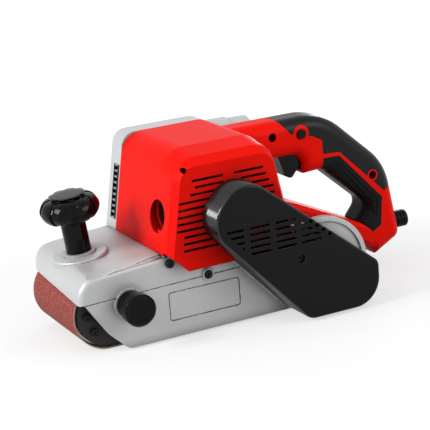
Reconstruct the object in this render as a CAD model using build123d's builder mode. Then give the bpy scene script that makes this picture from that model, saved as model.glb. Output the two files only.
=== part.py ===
from build123d import *
from math import atan2, cos, degrees, hypot, pi, radians, sin, sqrt, tan
import os

os.makedirs("parts", exist_ok=True)

# Hand-held belt sander for a wide abrasive belt, in millimetres.
# +X is forward (front knob), +Y is the operator's left (drive side), +Z is up.
# The origin is on the sanding plane, under the centre of the sanding plate.

# Abrasive belt and its rollers
BELT_WIDTH = 100.0
BELT_LENGTH = 610.0  # round the middle of the belt's thickness
BELT_THICKNESS = 1.0
BELT_RADIUS = 32.5  # outside of the belt, round a roller
FRONT_X = 100.0  # front roller axle, ahead of the plate's centre
ROLLER_GAP = 0.3  # between the belt and a roller
ROLLER_CROWN = 0.5  # the front roller is this much smaller in radius at its ends
ROLLER_END = 1.0  # a turning piece to the metal beside it
ROLLER_RECESS = 4.0  # room round the bearing hub in the drive roller's right end
LAGGING = 3.0  # rubber on the drive roller

# Fits
RUN_FIT = 0.05  # radial clearance of a shaft or pin that turns in a bore
PRESS_FIT = 0.02  # radial allowance between pieces that are pressed together
SLIDE_FIT = 0.3  # gap round a piece that slides
SEAT_FIT = 0.2  # gap where one fixed piece is let into another

# Cast frame
SKIRT_GAP = 11.0  # belt edge to the inside of the left skirt
SKIRT_WALL = 5.0
SKIRT_FOOT_Z = 1.5
SKIRT_TOE_X = 88.7
SKIRT_KNEE = (106.0, 18.3)
SKIRT_TOE_ROUND = 10.0
SKIRT_KNEE_ROUND = 30.0
DECK_OVERHANG = 12.0  # deck past the right edge of the belt
BELT_CLEAR = 1.5  # belt to the casting above it
DECK_DEPTH = 13.0
DECK_FLOOR = 4.5  # metal left under the motor well
DECK_LEDGE = 2.0  # deck behind the housing's rear foot
LIP_RISE = 17.5  # lower edge of the nose, above the roller axle
LIP_WALL = 2.4
LIP_SLOPE = 9.5  # the lower edge rises this much to the right
NOSE_DROP = 6.0  # the deck slopes down this much to the nose
NOSE_TUCK = 5.0  # the slope begins this far under the housing's front foot
NOSE_ROUND = 20.0  # front of the nose, seen from the side
NOSE_EDGE = 5.0
NOSE_RIGHT_EDGE = 3.5
NOSE_RIGHT_ROUND = 30.0  # right corner of the nose, seen from above
SHOULDER_Y = (50.0, 70.0)  # the deck's left margin slopes down across these
SHOULDER_DROP = 3.5
RIDGE = [(49.5, 56.6, 78.4), (67.0, 57.5, 77.0), (88.0, 61.0, 74.8), (104.5, 63.5, 72.5), (108.5, 64.2, 70.0)]
RIDGE_RADIUS = 1.5
COVE_X = (46.5, 102.0)  # hollow between the ridge and the skirt: its ends and their three corners
COVE_REAR = [(58.4, 81.0), (65.2, 81.0), (61.4, 73.0)]
COVE_FRONT = [(63.9, 75.0), (65.1, 75.0), (64.6, 72.0)]
GUARD_WALL = 3.4
GUARD_SWEEP = 70.0  # degrees of the rear roller that the guard covers
CASE_RADIUS = 48.0  # round drive case at the rear of the skirt
CASE_BACK = 8.5  # its centre is this far behind the drive roller
CASE_RISE = 2.5
CASE_RIM = 4.5
RIM_RISE = 2.0
BEAM_FRONT_X = 38.0
BEAM_REAR_X = -62.0
BEAM_HALF_HEIGHT = 24.5
BEAM_WALL = 5.0
BEAM_OUT = 1.0  # beam past the right edge of the belt
GROOVE_REAR_X = -45.0
GROOVE_Z = (53.7, 49.8)  # at its rear end and at the nose
GROOVE_WIDTH = 1.0
GROOVE_DEPTH = 1.1
SUNK_DEPTH = 0.4
SUNK_X = (-25.2, 46.9)
SUNK_Z = (16.9, 44.3)
SUNK_CORNER = 3.0
SKIRT_SCREW = (6.5, 53.6)
TOE_SCREW = (43.5, 71.4)

# Sanding plate under the beam
PLATE_LENGTH = 132.0
PLATE_WIDTH = 96.0
PLATE_GAP = 0.1  # belt to the sheet that it runs on
PLATE_SHEET = 1.0
PLATE_PAD = 3.0
PLATE_SOLE = 4.0
PLATE_SCREW_X = 50.0
PLATE_SCREW_Y = 34.0

# Motor, across the sander above the belt
MOTOR_X = -18.0
STATOR_RADIUS = 39.0
STATOR_CLEAR = 1.0  # stator to the floor of the well
STATOR_RIGHT_Y = -12.0
STATOR_LENGTH = 42.0
AIR_GAP = 0.6
ARMATURE_RADIUS = 22.0
ARMATURE_SLOTS = 12
ARMATURE_SLOT_WIDTH = 2.6
ARMATURE_SLOT_DEPTH = 6.0
SHAFT_RADIUS = 7.0
WINDING_REACH = 7.5  # windings past the ends of the cores
WINDING_INSET = 3.0
COMMUTATOR_RADIUS = 14.0
COMMUTATOR_LENGTH = 16.0
BRUSH_Y = 48.0
BRUSH_WIDTH = 8.0
BRUSH_HEIGHT = 10.0
BRUSH_LENGTH = 16.0
HOLDER_WALL = 1.5
FAN_RADIUS = 36.0
FAN_HUB = 12.0
FAN_WIDTH = 10.0
FAN_PLATE = 2.0
FAN_BLADES = 14
FAN_BLADE = 1.6
BAFFLE_HOLE = 30.0
BAFFLE_DEPTH = 2.0

# Ball bearings: bore radius, outside radius, width
DRIVE_LEFT_BEARING = (7.5, 17.5, 11.0)
DRIVE_RIGHT_BEARING = (6.0, 14.0, 8.0)
MOTOR_LEFT_BEARING = (6.0, 16.0, 10.0)
MOTOR_RIGHT_BEARING = (5.0, 13.0, 8.0)
FRONT_BEARING = (5.0, 15.0, 9.0)
BEARING_LIP = 3.0
BEARING_WALL = 4.0
SEAL_MARGIN = 0.25  # rings on each side of a seal, as a share of the bearing's depth
SEAL_SINK = 0.08  # as a share of its width

# Moulded motor housing
FRONT_FOOT_X = 48.6
REAR_FOOT_X = -80.0
FRONT_LEAN = 10.3  # degrees from upright
REAR_LEAN = 11.5
HOUSING_HEIGHT = 90.5
HOUSING_WALL = 3.0
HOUSING_RIGHT_Y = -39.0
FRONT_ROUND = 24.0
REAR_ROUND = 20.0
CREASE_Y = 48.0  # the top slopes down from here to the flare
FLARE_GAP = 5.0  # skirt to the flare, where the left end of the housing is widest
FLARE_DROP = 5.0
FLARE_DEPTH = 8.0
PANEL_DROP = 11.5  # the left panel stands in from the box on each side
PANEL_HANG = 15.0
PANEL_TOE = [(48.1, 82.0), (30.7, 64.5)]  # line that its lower front corner is cut along
PANEL_FLOOR = 3.0  # the sloping floor under the panel is this much thicker, measured upright
PANEL_FRONT_ROUND = 15.0
PANEL_REAR_ROUND = 14.0
FRONT_BEVEL = 4.5
REAR_BEVEL = 5.0
BRUSH_HOLE = 15.0
BRUSH_STEP = 13.0
BRUSH_STEP_DEPTH = 6.0
BRUSH_DEPTH = 48.0  # motor axis to the floor of a brush recess
BRUSH_CAP = 11.5
BRUSH_CAP_PROUD = 4.5
BRUSH_CAP_SLOT = 2.0
RIB = 4.0
SLOT_FRONT_X = (20.5, 18.1, 23.5, 35.0, 36.0, 37.0, 38.0, 39.0, 32.3, 33.3, 33.9)  # from the top row down
SLOT_REAR_X = (-50.6, -53.2, -55.8, -60.5, -61.1)
SLOT_PITCH = 6.2
SLOT_TOP_Z = 145.4
SLOT_HEIGHT = 2.4
SLOT_CLEAR = 25.0  # slots stay this far from the motor axis, clear of its bearing
SLOT_BRIDGE_X = -14.2
SLOT_BRIDGE = 4.0  # half the gap between the front and rear slots of the top row
END_DEPTH = 25.0
END_WALL = 3.5
END_ROUND = 4.0
END_FRONT_ROUND = 14.0
END_SCREW_IN = 8.0
END_SCREW_BITE = 6.0
END_SCREW_FRONT_Z = (86.0, 146.0)
END_SCREW_REAR_Z = (86.0, 128.0)
END_VENTS = 10
END_VENT_RADIUS = 27.0
END_VENT_SIZE = (14.0, 4.0)
GRILLE_Y = (-52.0, -40.8)
GRILLE_RISE = (9.7, 61.5)  # up the leaning front wall
GRILLE_GAPS = 9
GRILLE_BAR = 1.6
GRILLE_PROUD = 0.6
SPIGOT_RADIUS = 17.0
SPIGOT_WALL = 2.5
SPIGOT_COLLAR = 1.8
SPIGOT_COLLAR_X = -79.0
SPIGOT_Y = -46.5
SPIGOT_Z = 147.0
SPIGOT_X = -101.0
SPIGOT_DEPTH = 30.0
SPIGOT_THROAT = 10.0
SPIGOT_WINDOW_HALF = 10.0

# Handle
HANDLE_WIDTH = 38.0
HANDLE_ROUND = 12.0
BRIDGE_ROUND = 5.0
HANDLE_WALL = 5.2
HANDLE_ROOT = 15.0  # the arms end this far inside the housing's rear foot
PAD_DEPTH = 2.2
PAD_LINE_WIDTH = 0.9
PAD_LINE_DEPTH = 0.8
TRIGGER_WIDTH = 15.6
TRIGGER_ROUND = 1.5
TRIGGER_PIVOT = (20.0, 62.0)  # behind the housing's rear foot, above the deck
TRIGGER_PIN = 2.0
TRIGGER_BOSS = 4.5
LOCK_PLACE = (45.5, 72.4)
LOCK_RADIUS = 4.5
LOCK_RING = 8.5
LOCK_FLANGE = 6.2
LOCK_FLANGE_DEPTH = 1.0
LOCK_PROUD = 2.0
HANDLE_SCREWS = [(14.6, 73.9), (122.6, 17.6)]
PANEL_SCREW = (26.5, 155.5)
PANEL_SCREW_SCALE = 0.62  # smaller than the other housing screws
HANDLE_SCREW_SEAT = 8.0
PANEL_SCREW_SEAT = 14.0
PANEL_BOSS = 5.0
HOUSING_SCREW_BITE = 12.0  # housing screws go this far into the right half
GLAND_RADIUS = 8.5
GLAND_RING = 1.2
GLAND_RINGS = 3
GLAND_BORE = 3.8
GLAND_FLANGE = 9.5
GLAND_FLANGE_DEPTH = 2.0
GLAND_UP = -39.0  # below the deck
GLAND_IN = 144.5
GLAND_OUT = 168.6
CLAMP_BACK = (129.0, 138.0)
CLAMP_DEPTH = 5.0

# Belt drive
DRIVEN_RADIUS = 23.0
DRIVEN_SHAFT = 6.0
DRIVEN_HUB = 11.0
DRIVEN_RIM = 3.5
DRIVEN_WEB = 5.0
MOTOR_PULLEY_RADIUS = 7.6
MOTOR_PULLEY_SHAFT = 4.5
PULLEY_WIDTH = 17.0
PULLEY_FLANGE = 1.2
PULLEY_FLANGE_RISE = 2.2
PULLEY_GAP = 4.0  # housing panel to the pulleys
DRIVE_BELT_GAP = 0.3
DRIVE_BELT_THICKNESS = 3.0
NUT_WIDTH = 17.0
NUT_DEPTH = 3.5

# Belt cover: two sides that open out from the motor pulley to the driven pulley. The distances above and
# below are from the line through the two pulleys.
COVER_WALL = 3.0
COVER_ROOM = 5.0  # pulleys to the inside of the cover
COVER_SEAT = 1.0  # raised seat on the frame under the cover's rim
COVER_ROUND = 3.0
COVER_FOOT_Z = 2.5
COVER_TIP = 28.0
COVER_TIP_ABOVE = 27.5
COVER_TIP_BELOW = 29.5
COVER_TIP_ROUND = 26.5
COVER_ROOT_ABOVE = 36.5
COVER_ROOT_BELOW = 42.5
COVER_TAIL = 45.5  # driven pulley to the cover's rear end
COVER_TOE_ROUND = 14.0
COVER_HEEL_ROUND = 26.0
COVER_TAIL_ROUND = 9.0
COVER_SCREW_ALONG = 47.2
COVER_SCREW_BELOW = 2.6
COVER_SCREW_SUNK = 6.0
COVER_POST = 8.0
COVER_SLOT_COLUMNS = 4
COVER_SLOT_ROWS = 5
COVER_SLOT_PITCH = (26.0, 5.9)
COVER_SLOT_SIZE = (20.5, 2.6)
COVER_SLOT_MIDDLE = (-41.0, 89.0)
COVER_SLOT_MARGIN = 7.0
COVER_VENTS = 4
COVER_VENT_PITCH = 8.1
COVER_VENT_FIRST = 36.0
COVER_VENT_SIZE = (4.4, 9.0)
COVER_VENT_DEPTH = 9.0

# Front knob, tracking knob and tension gear
KNOB_X = 101.5
KNOB_LEAN = 6.5  # degrees forward
KNOB_BOSS = 26.0
KNOB_BOSS_RISE = 2.5
KNOB_STEP = 15.5
KNOB_STEP_RISE = 4.5
KNOB_EDGE = 1.5
KNOB_STEM = 11.5
KNOB_STEM_RISE = 31.0
KNOB_RADIUS = 27.3
KNOB_RADIUS_RISE = 47.0
KNOB_HEIGHT = 59.0
KNOB_CAP = [(13.5, 33.8), (20.5, 35.6), (25.4, 40.0), (27.3, 47.0), (25.2, 52.0), (18.0, 56.7), (9.0, 58.6)]
KNOB_FLUTES = 8
KNOB_FLUTE_DEPTH = 1.5
KNOB_FLUTE_WIDTH = 7.5
KNOB_FLUTE_START = 15.0  # from the knob's axis
KNOB_FLUTE_TURN = 34.0  # degrees, the first flute from straight ahead
KNOB_STUD = 4.0
KNOB_STUD_DEPTH = 9.0
KNOB_STUD_LENGTH = 29.0
TRACK_X = 85.3
TRACK_RISE = 11.0  # tracking screw above the roller axle
TRACK_PAD = 14.0
TRACK_SCREW = 5.0
TRACK_NECK = 12.4
TRACK_NECK_LENGTH = 11.5
TRACK_RING = 1.3
TRACK_RINGS = 2
TRACK_KNOB_RADIUS = 14.8
TRACK_KNOB_LENGTH = 13.2
TRACK_KNOB_EDGE = 2.0
TRACK_TIP_GAP = 0.6
FORK_ARM = 5.0
FORK_RADIUS = 29.5
FORK_HALF_HEIGHT = 17.3
FORK_EYE = 8.0
FORK_INSET = 0.5  # fork arm inside the edge of the belt
FORK_SCREW_RADIUS = 20.0
FORK_SCREW_ANGLES = (2.0, -45.0)
FORK_SCREW_LENGTH = 4.0
HEAD_FRONT_X = 60.0
HEAD_LENGTH = 14.0
HEAD_HALF_WIDTH = 22.0
HEAD_HALF_HEIGHT = 11.0
TONGUE_WIDTH = 18.0
TONGUE_HEIGHT = 12.0
STUD_RADIUS = 5.0
FOLLOWER_X = 17.5
FOLLOWER_DEPTH = 4.0
FOLLOWER_Y = (-46.0, 10.0)
FOLLOWER_HALF_HEIGHT = 7.0
GUIDE_RADIUS = 4.0
GUIDE_LENGTH = 58.5
RIB_X = -26.0
RIB_DEPTH = 6.0
SPRING_RADIUS = 8.0
SPRING_WIRE = 2.5
LEVER_X = 24.0
LEVER_Y = -43.0
LEVER_HUB = 6.0
LEVER_PIN = 3.0
LEVER_LENGTH = 71.0
LEVER_ARM = 4.0
LEVER_HALF_HEIGHT = 8.5
LEVER_CAM = 8.3
LEVER_LOBE = 3.0

# Socket screws
SCREW_HEAD = 3.8
SCREW_HEAD_DEPTH = 3.0
SCREW_SHANK = 2.0
SCREW_FIT = 0.1
SCREW_RECESS = 4.2
SCREW_BOSS = 5.6
SCREW_SOCKET = 1.5
SCREW_SOCKET_DEPTH = 1.8
BOSS_IN = 9.6  # housing feet, in from the front and rear
BOSS_Y = (-28.0, 52.0)
BOSS_HEIGHT = 20.0
DECK_SCREW_LENGTH = 20.0

# Heights and places that follow from the sizes above
ROLLER_Z = BELT_RADIUS
AXLE_SPAN = (BELT_LENGTH - 2 * pi * (BELT_RADIUS - BELT_THICKNESS / 2)) / 2
REAR_X = FRONT_X - AXLE_SPAN
BELT_HALF = BELT_WIDTH / 2
BELT_INSIDE = BELT_RADIUS - BELT_THICKNESS
ROLLER_RADIUS = BELT_INSIDE - ROLLER_GAP
TUNNEL_RADIUS = BELT_RADIUS + BELT_CLEAR
TUNNEL_Z = 2 * BELT_RADIUS + BELT_CLEAR
WELL_Z = TUNNEL_Z + DECK_FLOOR
DECK_Z = TUNNEL_Z + DECK_DEPTH
SKIRT_IN_Y = BELT_HALF + SKIRT_GAP
SKIRT_Y = SKIRT_IN_Y + SKIRT_WALL
DECK_RIGHT_Y = -BELT_HALF - DECK_OVERHANG
LIP_Z = ROLLER_Z + LIP_RISE
NOSE_X = FRONT_X + sqrt(TUNNEL_RADIUS**2 - LIP_RISE**2) + LIP_WALL
NOSE_Z = DECK_Z - NOSE_DROP
NOSE_REAR_X = FRONT_FOOT_X - NOSE_TUCK
DECK_REAR_X = REAR_FOOT_X - DECK_LEDGE
CASE_X = REAR_X - CASE_BACK
CASE_Z = ROLLER_Z + CASE_RISE
BEAM_RIGHT_Y = -BELT_HALF - BEAM_OUT
BEAM_LOW_Z = ROLLER_Z - BEAM_HALF_HEIGHT
BEAM_HIGH_Z = ROLLER_Z + BEAM_HALF_HEIGHT
SHEET_LOW_Z = BELT_THICKNESS + PLATE_GAP
PAD_LOW_Z = SHEET_LOW_Z + PLATE_SHEET
SOLE_LOW_Z = PAD_LOW_Z + PLATE_PAD
SOLE_HIGH_Z = SOLE_LOW_Z + PLATE_SOLE
MOTOR_Z = WELL_Z + STATOR_CLEAR + STATOR_RADIUS
TOP_Z = DECK_Z + HOUSING_HEIGHT
FLARE_Y = SKIRT_Y + FLARE_GAP
PANEL_Y = FLARE_Y + FLARE_DEPTH
END_Y = HOUSING_RIGHT_Y - END_DEPTH
PULLEY_Y = PANEL_Y + PULLEY_GAP
PULLEY_END_Y = PULLEY_Y + PULLEY_WIDTH
COVER_IN_Y = PULLEY_END_Y + COVER_ROOM
COVER_Y = COVER_IN_Y + COVER_WALL
SEAT_Y = SKIRT_Y + COVER_SEAT
POST_Y = SKIRT_Y + COVER_POST
HANDLE_HALF = HANDLE_WIDTH / 2
CAVITY_HALF = HANDLE_HALF - HANDLE_WALL
TRACK_Z = ROLLER_Z + TRACK_RISE
TRACK_PAD_Y = SKIRT_Y + RIM_RISE
ROLLER_LEFT_Y = BELT_HALF
ROLLER_RIGHT_Y = BEAM_RIGHT_Y + 2 * ROLLER_END
DRIVE_BOSS_Y = ROLLER_LEFT_Y + ROLLER_END
DRIVE_BEARING_Y = DRIVE_BOSS_Y + BEARING_LIP
RIGHT_ARM_Y = BEAM_RIGHT_Y - BEAM_WALL
RIGHT_SEAT_Y = RIGHT_ARM_Y + BEARING_WALL
RIGHT_HUB_Y = RIGHT_SEAT_Y + DRIVE_RIGHT_BEARING[2] + ROLLER_END
FORK_OUT_Y = BELT_HALF - FORK_INSET
FORK_IN_Y = FORK_OUT_Y - FORK_ARM
FORK_WEB_X = HEAD_FRONT_X + ROLLER_END
FORK_PIVOT_X = HEAD_FRONT_X - HEAD_LENGTH / 2
FRONT_HALF = FORK_IN_Y - ROLLER_END
STATOR_LEFT_Y = STATOR_RIGHT_Y + STATOR_LENGTH
COMMUTATOR_Y = BRUSH_Y - COMMUTATOR_LENGTH / 2
LEFT_SEAT_Y = PANEL_Y - ROLLER_END
LEFT_BEARING_Y = LEFT_SEAT_Y - MOTOR_LEFT_BEARING[2]
END_SEAT_Y = END_Y + BEARING_WALL
END_HUB_Y = END_SEAT_Y + MOTOR_RIGHT_BEARING[2] + ROLLER_END
FAN_Y = END_HUB_Y + ROLLER_END
BAFFLE_Y = HOUSING_RIGHT_Y + HOUSING_WALL
PULLEY_SPAN = hypot(MOTOR_X - REAR_X, MOTOR_Z - ROLLER_Z)
ALONG_X = (MOTOR_X - REAR_X) / PULLEY_SPAN
ALONG_Z = (MOTOR_Z - ROLLER_Z) / PULLEY_SPAN
DRIVE_ANGLE = degrees(atan2(ALONG_Z, ALONG_X))
HOUSING_FEET = [(x, y) for x in (FRONT_FOOT_X - BOSS_IN, REAR_FOOT_X + BOSS_IN) for y in BOSS_Y]
KNOB_Z = NOSE_Z + NOSE_DROP * (NOSE_X - KNOB_X) / (NOSE_X - NOSE_REAR_X)
KNOB_UP = (sin(radians(KNOB_LEAN)), 0, cos(radians(KNOB_LEAN)))
KNOB_OUT = (cos(radians(KNOB_LEAN)), 0, -sin(radians(KNOB_LEAN)))
KNOB_BASE = Plane(origin=(KNOB_X, 0, KNOB_Z), x_dir=KNOB_OUT, z_dir=KNOB_UP)
KNOB_SECTION = Plane(origin=(KNOB_X, 0, KNOB_Z), x_dir=KNOB_OUT, z_dir=(0, -1, 0))
FRONT_WALL = Plane(
    origin=(FRONT_FOOT_X, 0, DECK_Z),
    x_dir=(0, 1, 0),
    z_dir=(cos(radians(FRONT_LEAN)), 0, sin(radians(FRONT_LEAN))),
)
REAR_AXLE = (REAR_X, ROLLER_Z)
FRONT_AXLE = (FRONT_X, ROLLER_Z)
MOTOR_AXLE = (MOTOR_X, MOTOR_Z)
TRACK_AXLE = (TRACK_X, TRACK_Z)

# Handle outlines, as distances behind the housing's rear foot and above the deck. The first goes over the
# top, down the back, round the foot and back along the inside of the grip.
GRIP_OUTLINE = [
    (-45.0, 87.8),
    (74.0, 87.8),
    (141.9, 25.8),
    (155.2, -50.1),
    (126.0, -65.6),
    (110.0, -51.5),
    (106.0, -27.0),
    (119.0, -11.5),
    (70.0, 32.0),
    (50.5, 31.0),
    (47.0, 51.5),
    (-45.0, 51.5),
]
GRIP_CORNERS = [0, 62, 60, 9, 0, 0, 0, 9, 14, 0, 12, 0]
# The lower arm slopes from the housing's rear wall down to the foot of the grip.
BRIDGE_OUTLINE = [
    (-16.0, 25.0),
    (4.0, 18.5),
    (37.0, 5.0),
    (124.0, -36.5),
    (122.0, -57.0),
    (70.0, -29.5),
    (44.0, -11.0),
    (DECK_LEDGE + 2.0, -6.5),
    (DECK_LEDGE + 1.0, 0.0),
    (-16.0, 0.0),
]
BRIDGE_CORNERS = [0, 12, 40, 0, 0, 30, 30, 0, 0, 0]
UPPER_PAD = [
    (18.0, 94.0),
    (34.7, 73.4),
    (58.0, 67.8),
    (68.0, 62.2),
    (68.2, 48.4),
    (86.5, 47.4),
    (135.0, -0.5),
    (160.0, 10.0),
    (160.0, 94.0),
]
LOWER_PAD = [
    (68.0, 44.4),
    (85.9, 44.1),
    (132.4, -6.1),
    (129.7, -34.4),
    (116.4, -42.0),
    (100.0, -34.0),
    (100.0, -8.0),
    (68.0, 22.0),
]
LOWER_PAD_LINE = [
    (79.5, 38.5),
    (84.5, 38.5),
    (127.0, -7.5),
    (125.5, -24.0),
    (121.0, -21.0),
    (120.0, -9.0),
]
TRIGGER_OUTLINE = [
    (16.0, 66.0),
    (16.0, 58.0),
    (24.5, 57.5),
    (25.0, 51.5),
    (27.8, 43.2),
    (31.3, 31.5),
    (36.6, 28.5),
    (39.9, 28.5),
    (48.4, 38.5),
    (46.5, 51.5),
    (42.0, 64.0),
]
TRIGGER_SLOT_BACK = (23.5, 58.0)
TRIGGER_SLOT_UP = (34.5, 60.0)
TRIGGER_SLOT_HALF = 8.4
SWITCH_BACK = (47.5, 66.0)
SWITCH_UP = (57.5, 77.5)
SWITCH_HALF = 9.0


def side(y):
    """Plane across the sander at y: its x runs forward and its y runs up. It faces right."""
    return Plane.XZ.offset(-y)


def facing(point, direction):
    """Plane at a point, facing along a direction."""
    return Plane(origin=point, z_dir=direction)


def behind(back, up):
    """X and Z of a place given behind the housing's rear foot and above the deck."""
    return (REAR_FOOT_X - back, DECK_Z + up)


def on_drive(along, above):
    """X and Z of a place along the pulley line from the driven pulley, and above that line."""
    return (REAR_X + along * ALONG_X - above * ALONG_Z, ROLLER_Z + along * ALONG_Z + above * ALONG_X)


def block(low, high, mode=Mode.ADD):
    """Box between two opposite corners."""
    with Locations(tuple((a + b) / 2 for a, b in zip(low, high))):
        Box(*[b - a for a, b in zip(low, high)], mode=mode)


def rod_x(y, z, radius, low, high, mode=Mode.ADD):
    """Cylinder along X."""
    with Locations(Location(((low + high) / 2, y, z), (0, 90, 0))):
        Cylinder(radius, high - low, mode=mode)


def rod_y(place, radius, low, high, mode=Mode.ADD):
    """Cylinder along Y at a place of (x, z)."""
    with Locations(Location((place[0], (low + high) / 2, place[1]), (90, 0, 0))):
        Cylinder(radius, high - low, mode=mode)


def rod_z(place, radius, low, high, mode=Mode.ADD):
    """Cylinder along Z at a place of (x, y)."""
    with Locations((place[0], place[1], (low + high) / 2)):
        Cylinder(radius, high - low, mode=mode)


NEARLY_UP = 0.9  # upright share of the direction of a face that looks up


def turned(place, outline):
    """Solid turned about the line along Y at a place of (x, z), from points of (y, radius)."""
    x, z = place
    with BuildPart() as piece:
        with BuildSketch(Plane(origin=(x, 0, z), x_dir=(0, 1, 0), z_dir=(1, 0, 0))):
            with BuildLine():
                Polyline(*outline, close=True)
            make_face()
        revolve(axis=Axis((x, 0, z), (0, 1, 0)))
    return piece.part


def bearing(place, low, size):
    """Sealed ball bearing from y = low: one ring with a sunk seal in each face."""
    bore, outside, width = size
    high = low + width
    seal_in = bore + SEAL_MARGIN * (outside - bore)
    seal_out = outside - SEAL_MARGIN * (outside - bore)
    sunk = SEAL_SINK * width
    outline = [
        (low, bore + RUN_FIT),
        (low, seal_in),
        (low + sunk, seal_in),
        (low + sunk, seal_out),
        (low, seal_out),
        (low, outside - PRESS_FIT),
        (high, outside - PRESS_FIT),
        (high, seal_out),
        (high - sunk, seal_out),
        (high - sunk, seal_in),
        (high, seal_in),
        (high, bore + RUN_FIT),
    ]
    return turned(place, outline)


def screw(seat, length, scale=1.0):
    """Socket screw: its head stands on the seat plane and its shank goes down by length."""
    with BuildPart() as piece:
        with BuildSketch(seat):
            Circle(SCREW_HEAD * scale)
        extrude(amount=SCREW_HEAD_DEPTH)
        with BuildSketch(seat):
            Circle(SCREW_SHANK * scale)
        extrude(amount=-length)
        with BuildSketch(seat.offset(SCREW_HEAD_DEPTH)):
            RegularPolygon(SCREW_SOCKET * scale, 6, major_radius=False)
        extrude(amount=-SCREW_SOCKET_DEPTH, mode=Mode.SUBTRACT)
    return piece.part


def screw_room(seat, length, above, scale=1.0):
    """Hole for a screw of that length, with room for its head up to a height above the seat."""
    with BuildPart() as room:
        with BuildSketch(seat):
            Circle(SCREW_RECESS * scale)
        extrude(amount=above)
        with BuildSketch(seat):
            Circle(SCREW_SHANK * scale + SCREW_FIT)
        extrude(amount=-length - SCREW_FIT)
    return room.part


def front_x(z, inset=0.0):
    """Front wall of the motor housing at height z."""
    return FRONT_FOOT_X - (z - DECK_Z) * tan(radians(FRONT_LEAN)) - inset / cos(radians(FRONT_LEAN))


def rear_x(z, inset=0.0):
    """Rear wall of the motor housing at height z."""
    return REAR_FOOT_X + (z - DECK_Z) * tan(radians(REAR_LEAN)) + inset / cos(radians(REAR_LEAN))


def housing_outline(low, high, front, rear, corners):
    """Leaning four-sided outline between two heights, with the top corners rounded."""
    with BuildSketch() as outline:
        with BuildLine():
            FilletPolyline(
                (front_x(low, front), low),
                (front_x(high, front), high),
                (rear_x(high, rear), high),
                (rear_x(low, rear), low),
                radius=[0, *corners, 0],
                close=True,
            )
        make_face()
    return outline.sketch


def box_outline(inset=0.0, foot=DECK_Z, drop=0.0, front_round=FRONT_ROUND):
    """Side outline of the motor housing, drawn in by inset, with its top lowered by drop."""
    corners = (front_round - inset, REAR_ROUND - inset)
    return housing_outline(foot, TOP_Z - drop - inset, inset, inset, corners)


def panel_outline(inset=0.0):
    """Outline of the housing's flat left panel, drawn in by inset."""
    return housing_outline(
        DECK_Z - PANEL_HANG + PANEL_FLOOR * inset,
        TOP_Z - PANEL_DROP - inset,
        FRONT_BEVEL + inset,
        REAR_BEVEL + inset,
        (PANEL_FRONT_ROUND - inset, PANEL_REAR_ROUND - inset),
    )


def motor_box(right, inset=0.0, foot=DECK_Z):
    """Motor housing as a solid from y = right to its left panel, drawn in all round by inset."""
    with BuildPart() as box:
        with BuildSketch(side(CREASE_Y)):
            add(box_outline(inset, foot))
        extrude(amount=CREASE_Y - right)
        with BuildSketch(side(CREASE_Y)):
            add(box_outline(inset, DECK_Z + inset))
        with BuildSketch(side(FLARE_Y)):
            add(box_outline(inset, DECK_Z + inset, FLARE_DROP))
        with BuildSketch(side(PANEL_Y - inset)):
            add(panel_outline(inset))
        loft(ruled=True)
        (toe_x, toe_z), (heel_x, heel_z) = PANEL_TOE
        with BuildSketch(side(PANEL_Y + SEAT_FIT)):
            with BuildLine():
                Polyline(
                    (toe_x - PANEL_FLOOR / 2 * inset, toe_z),
                    (heel_x - PANEL_FLOOR / 2 * inset, heel_z),
                    (heel_x - PANEL_FLOOR / 2 * inset, heel_z - PANEL_HANG),
                    (toe_x + PANEL_HANG, heel_z - PANEL_HANG),
                    (toe_x + PANEL_HANG, toe_z),
                    close=True,
                )
            make_face()
        extrude(amount=PANEL_Y + SEAT_FIT - SKIRT_Y, mode=Mode.SUBTRACT)
    return box.part


def handle_arm(outline, corners, inset, rounding):
    """One arm of the handle, drawn in by inset, with the long edges of its sides rounded."""
    half = HANDLE_HALF - inset
    with BuildPart() as arm:
        with BuildSketch(side(half)):
            with BuildLine():
                FilletPolyline(*[behind(*point) for point in outline], radius=corners, close=True)
            make_face()
            if inset > 0:
                offset(amount=-inset, mode=Mode.REPLACE)
        extrude(amount=2 * half)
        if rounding > inset:
            rims = arm.edges().filter_by(lambda e: abs(e.center().Y) > half - SCREW_FIT)
            fillet(rims.filter_by(lambda e: e.center().X < REAR_FOOT_X + HANDLE_ROOT), rounding - inset)
    return arm.part


def grip(inset=0.0):
    """Upper arm, grip and foot of the handle, drawn in by inset."""
    return handle_arm(GRIP_OUTLINE, GRIP_CORNERS, inset, HANDLE_ROUND)


def bridge(inset=0.0):
    """Lower arm of the handle, drawn in by inset."""
    return handle_arm(BRIDGE_OUTLINE, BRIDGE_CORNERS, inset, BRIDGE_ROUND)


def pad_line():
    """Shallow line round a strip in the skin of each lower pad."""
    with BuildPart() as line:
        add(grip())
        add(grip(PAD_LINE_DEPTH), mode=Mode.SUBTRACT)
        with BuildSketch(side(HANDLE_HALF)):
            with BuildLine():
                Polyline(*[behind(*point) for point in LOWER_PAD_LINE], close=True)
            make_face()
            offset(amount=-PAD_LINE_WIDTH, mode=Mode.SUBTRACT)
        extrude(amount=HANDLE_WIDTH, mode=Mode.INTERSECT)
    return line.part


def pad_skin(outline):
    """Skin of the grip inside an outline, to the depth of a rubber pad."""
    with BuildPart() as skin:
        add(grip())
        add(grip(PAD_DEPTH), mode=Mode.SUBTRACT)
        with BuildSketch(side(HANDLE_HALF)):
            with BuildLine():
                Polyline(*[behind(*point) for point in outline], close=True)
            make_face()
        extrude(amount=HANDLE_WIDTH, mode=Mode.INTERSECT)
        rod_y(behind(*LOCK_PLACE), LOCK_RING, -HANDLE_HALF, HANDLE_HALF, mode=Mode.SUBTRACT)
        for place in HANDLE_SCREWS:
            rod_y(behind(*place), SCREW_BOSS, -HANDLE_HALF, HANDLE_HALF, mode=Mode.SUBTRACT)
    return skin.part


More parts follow.
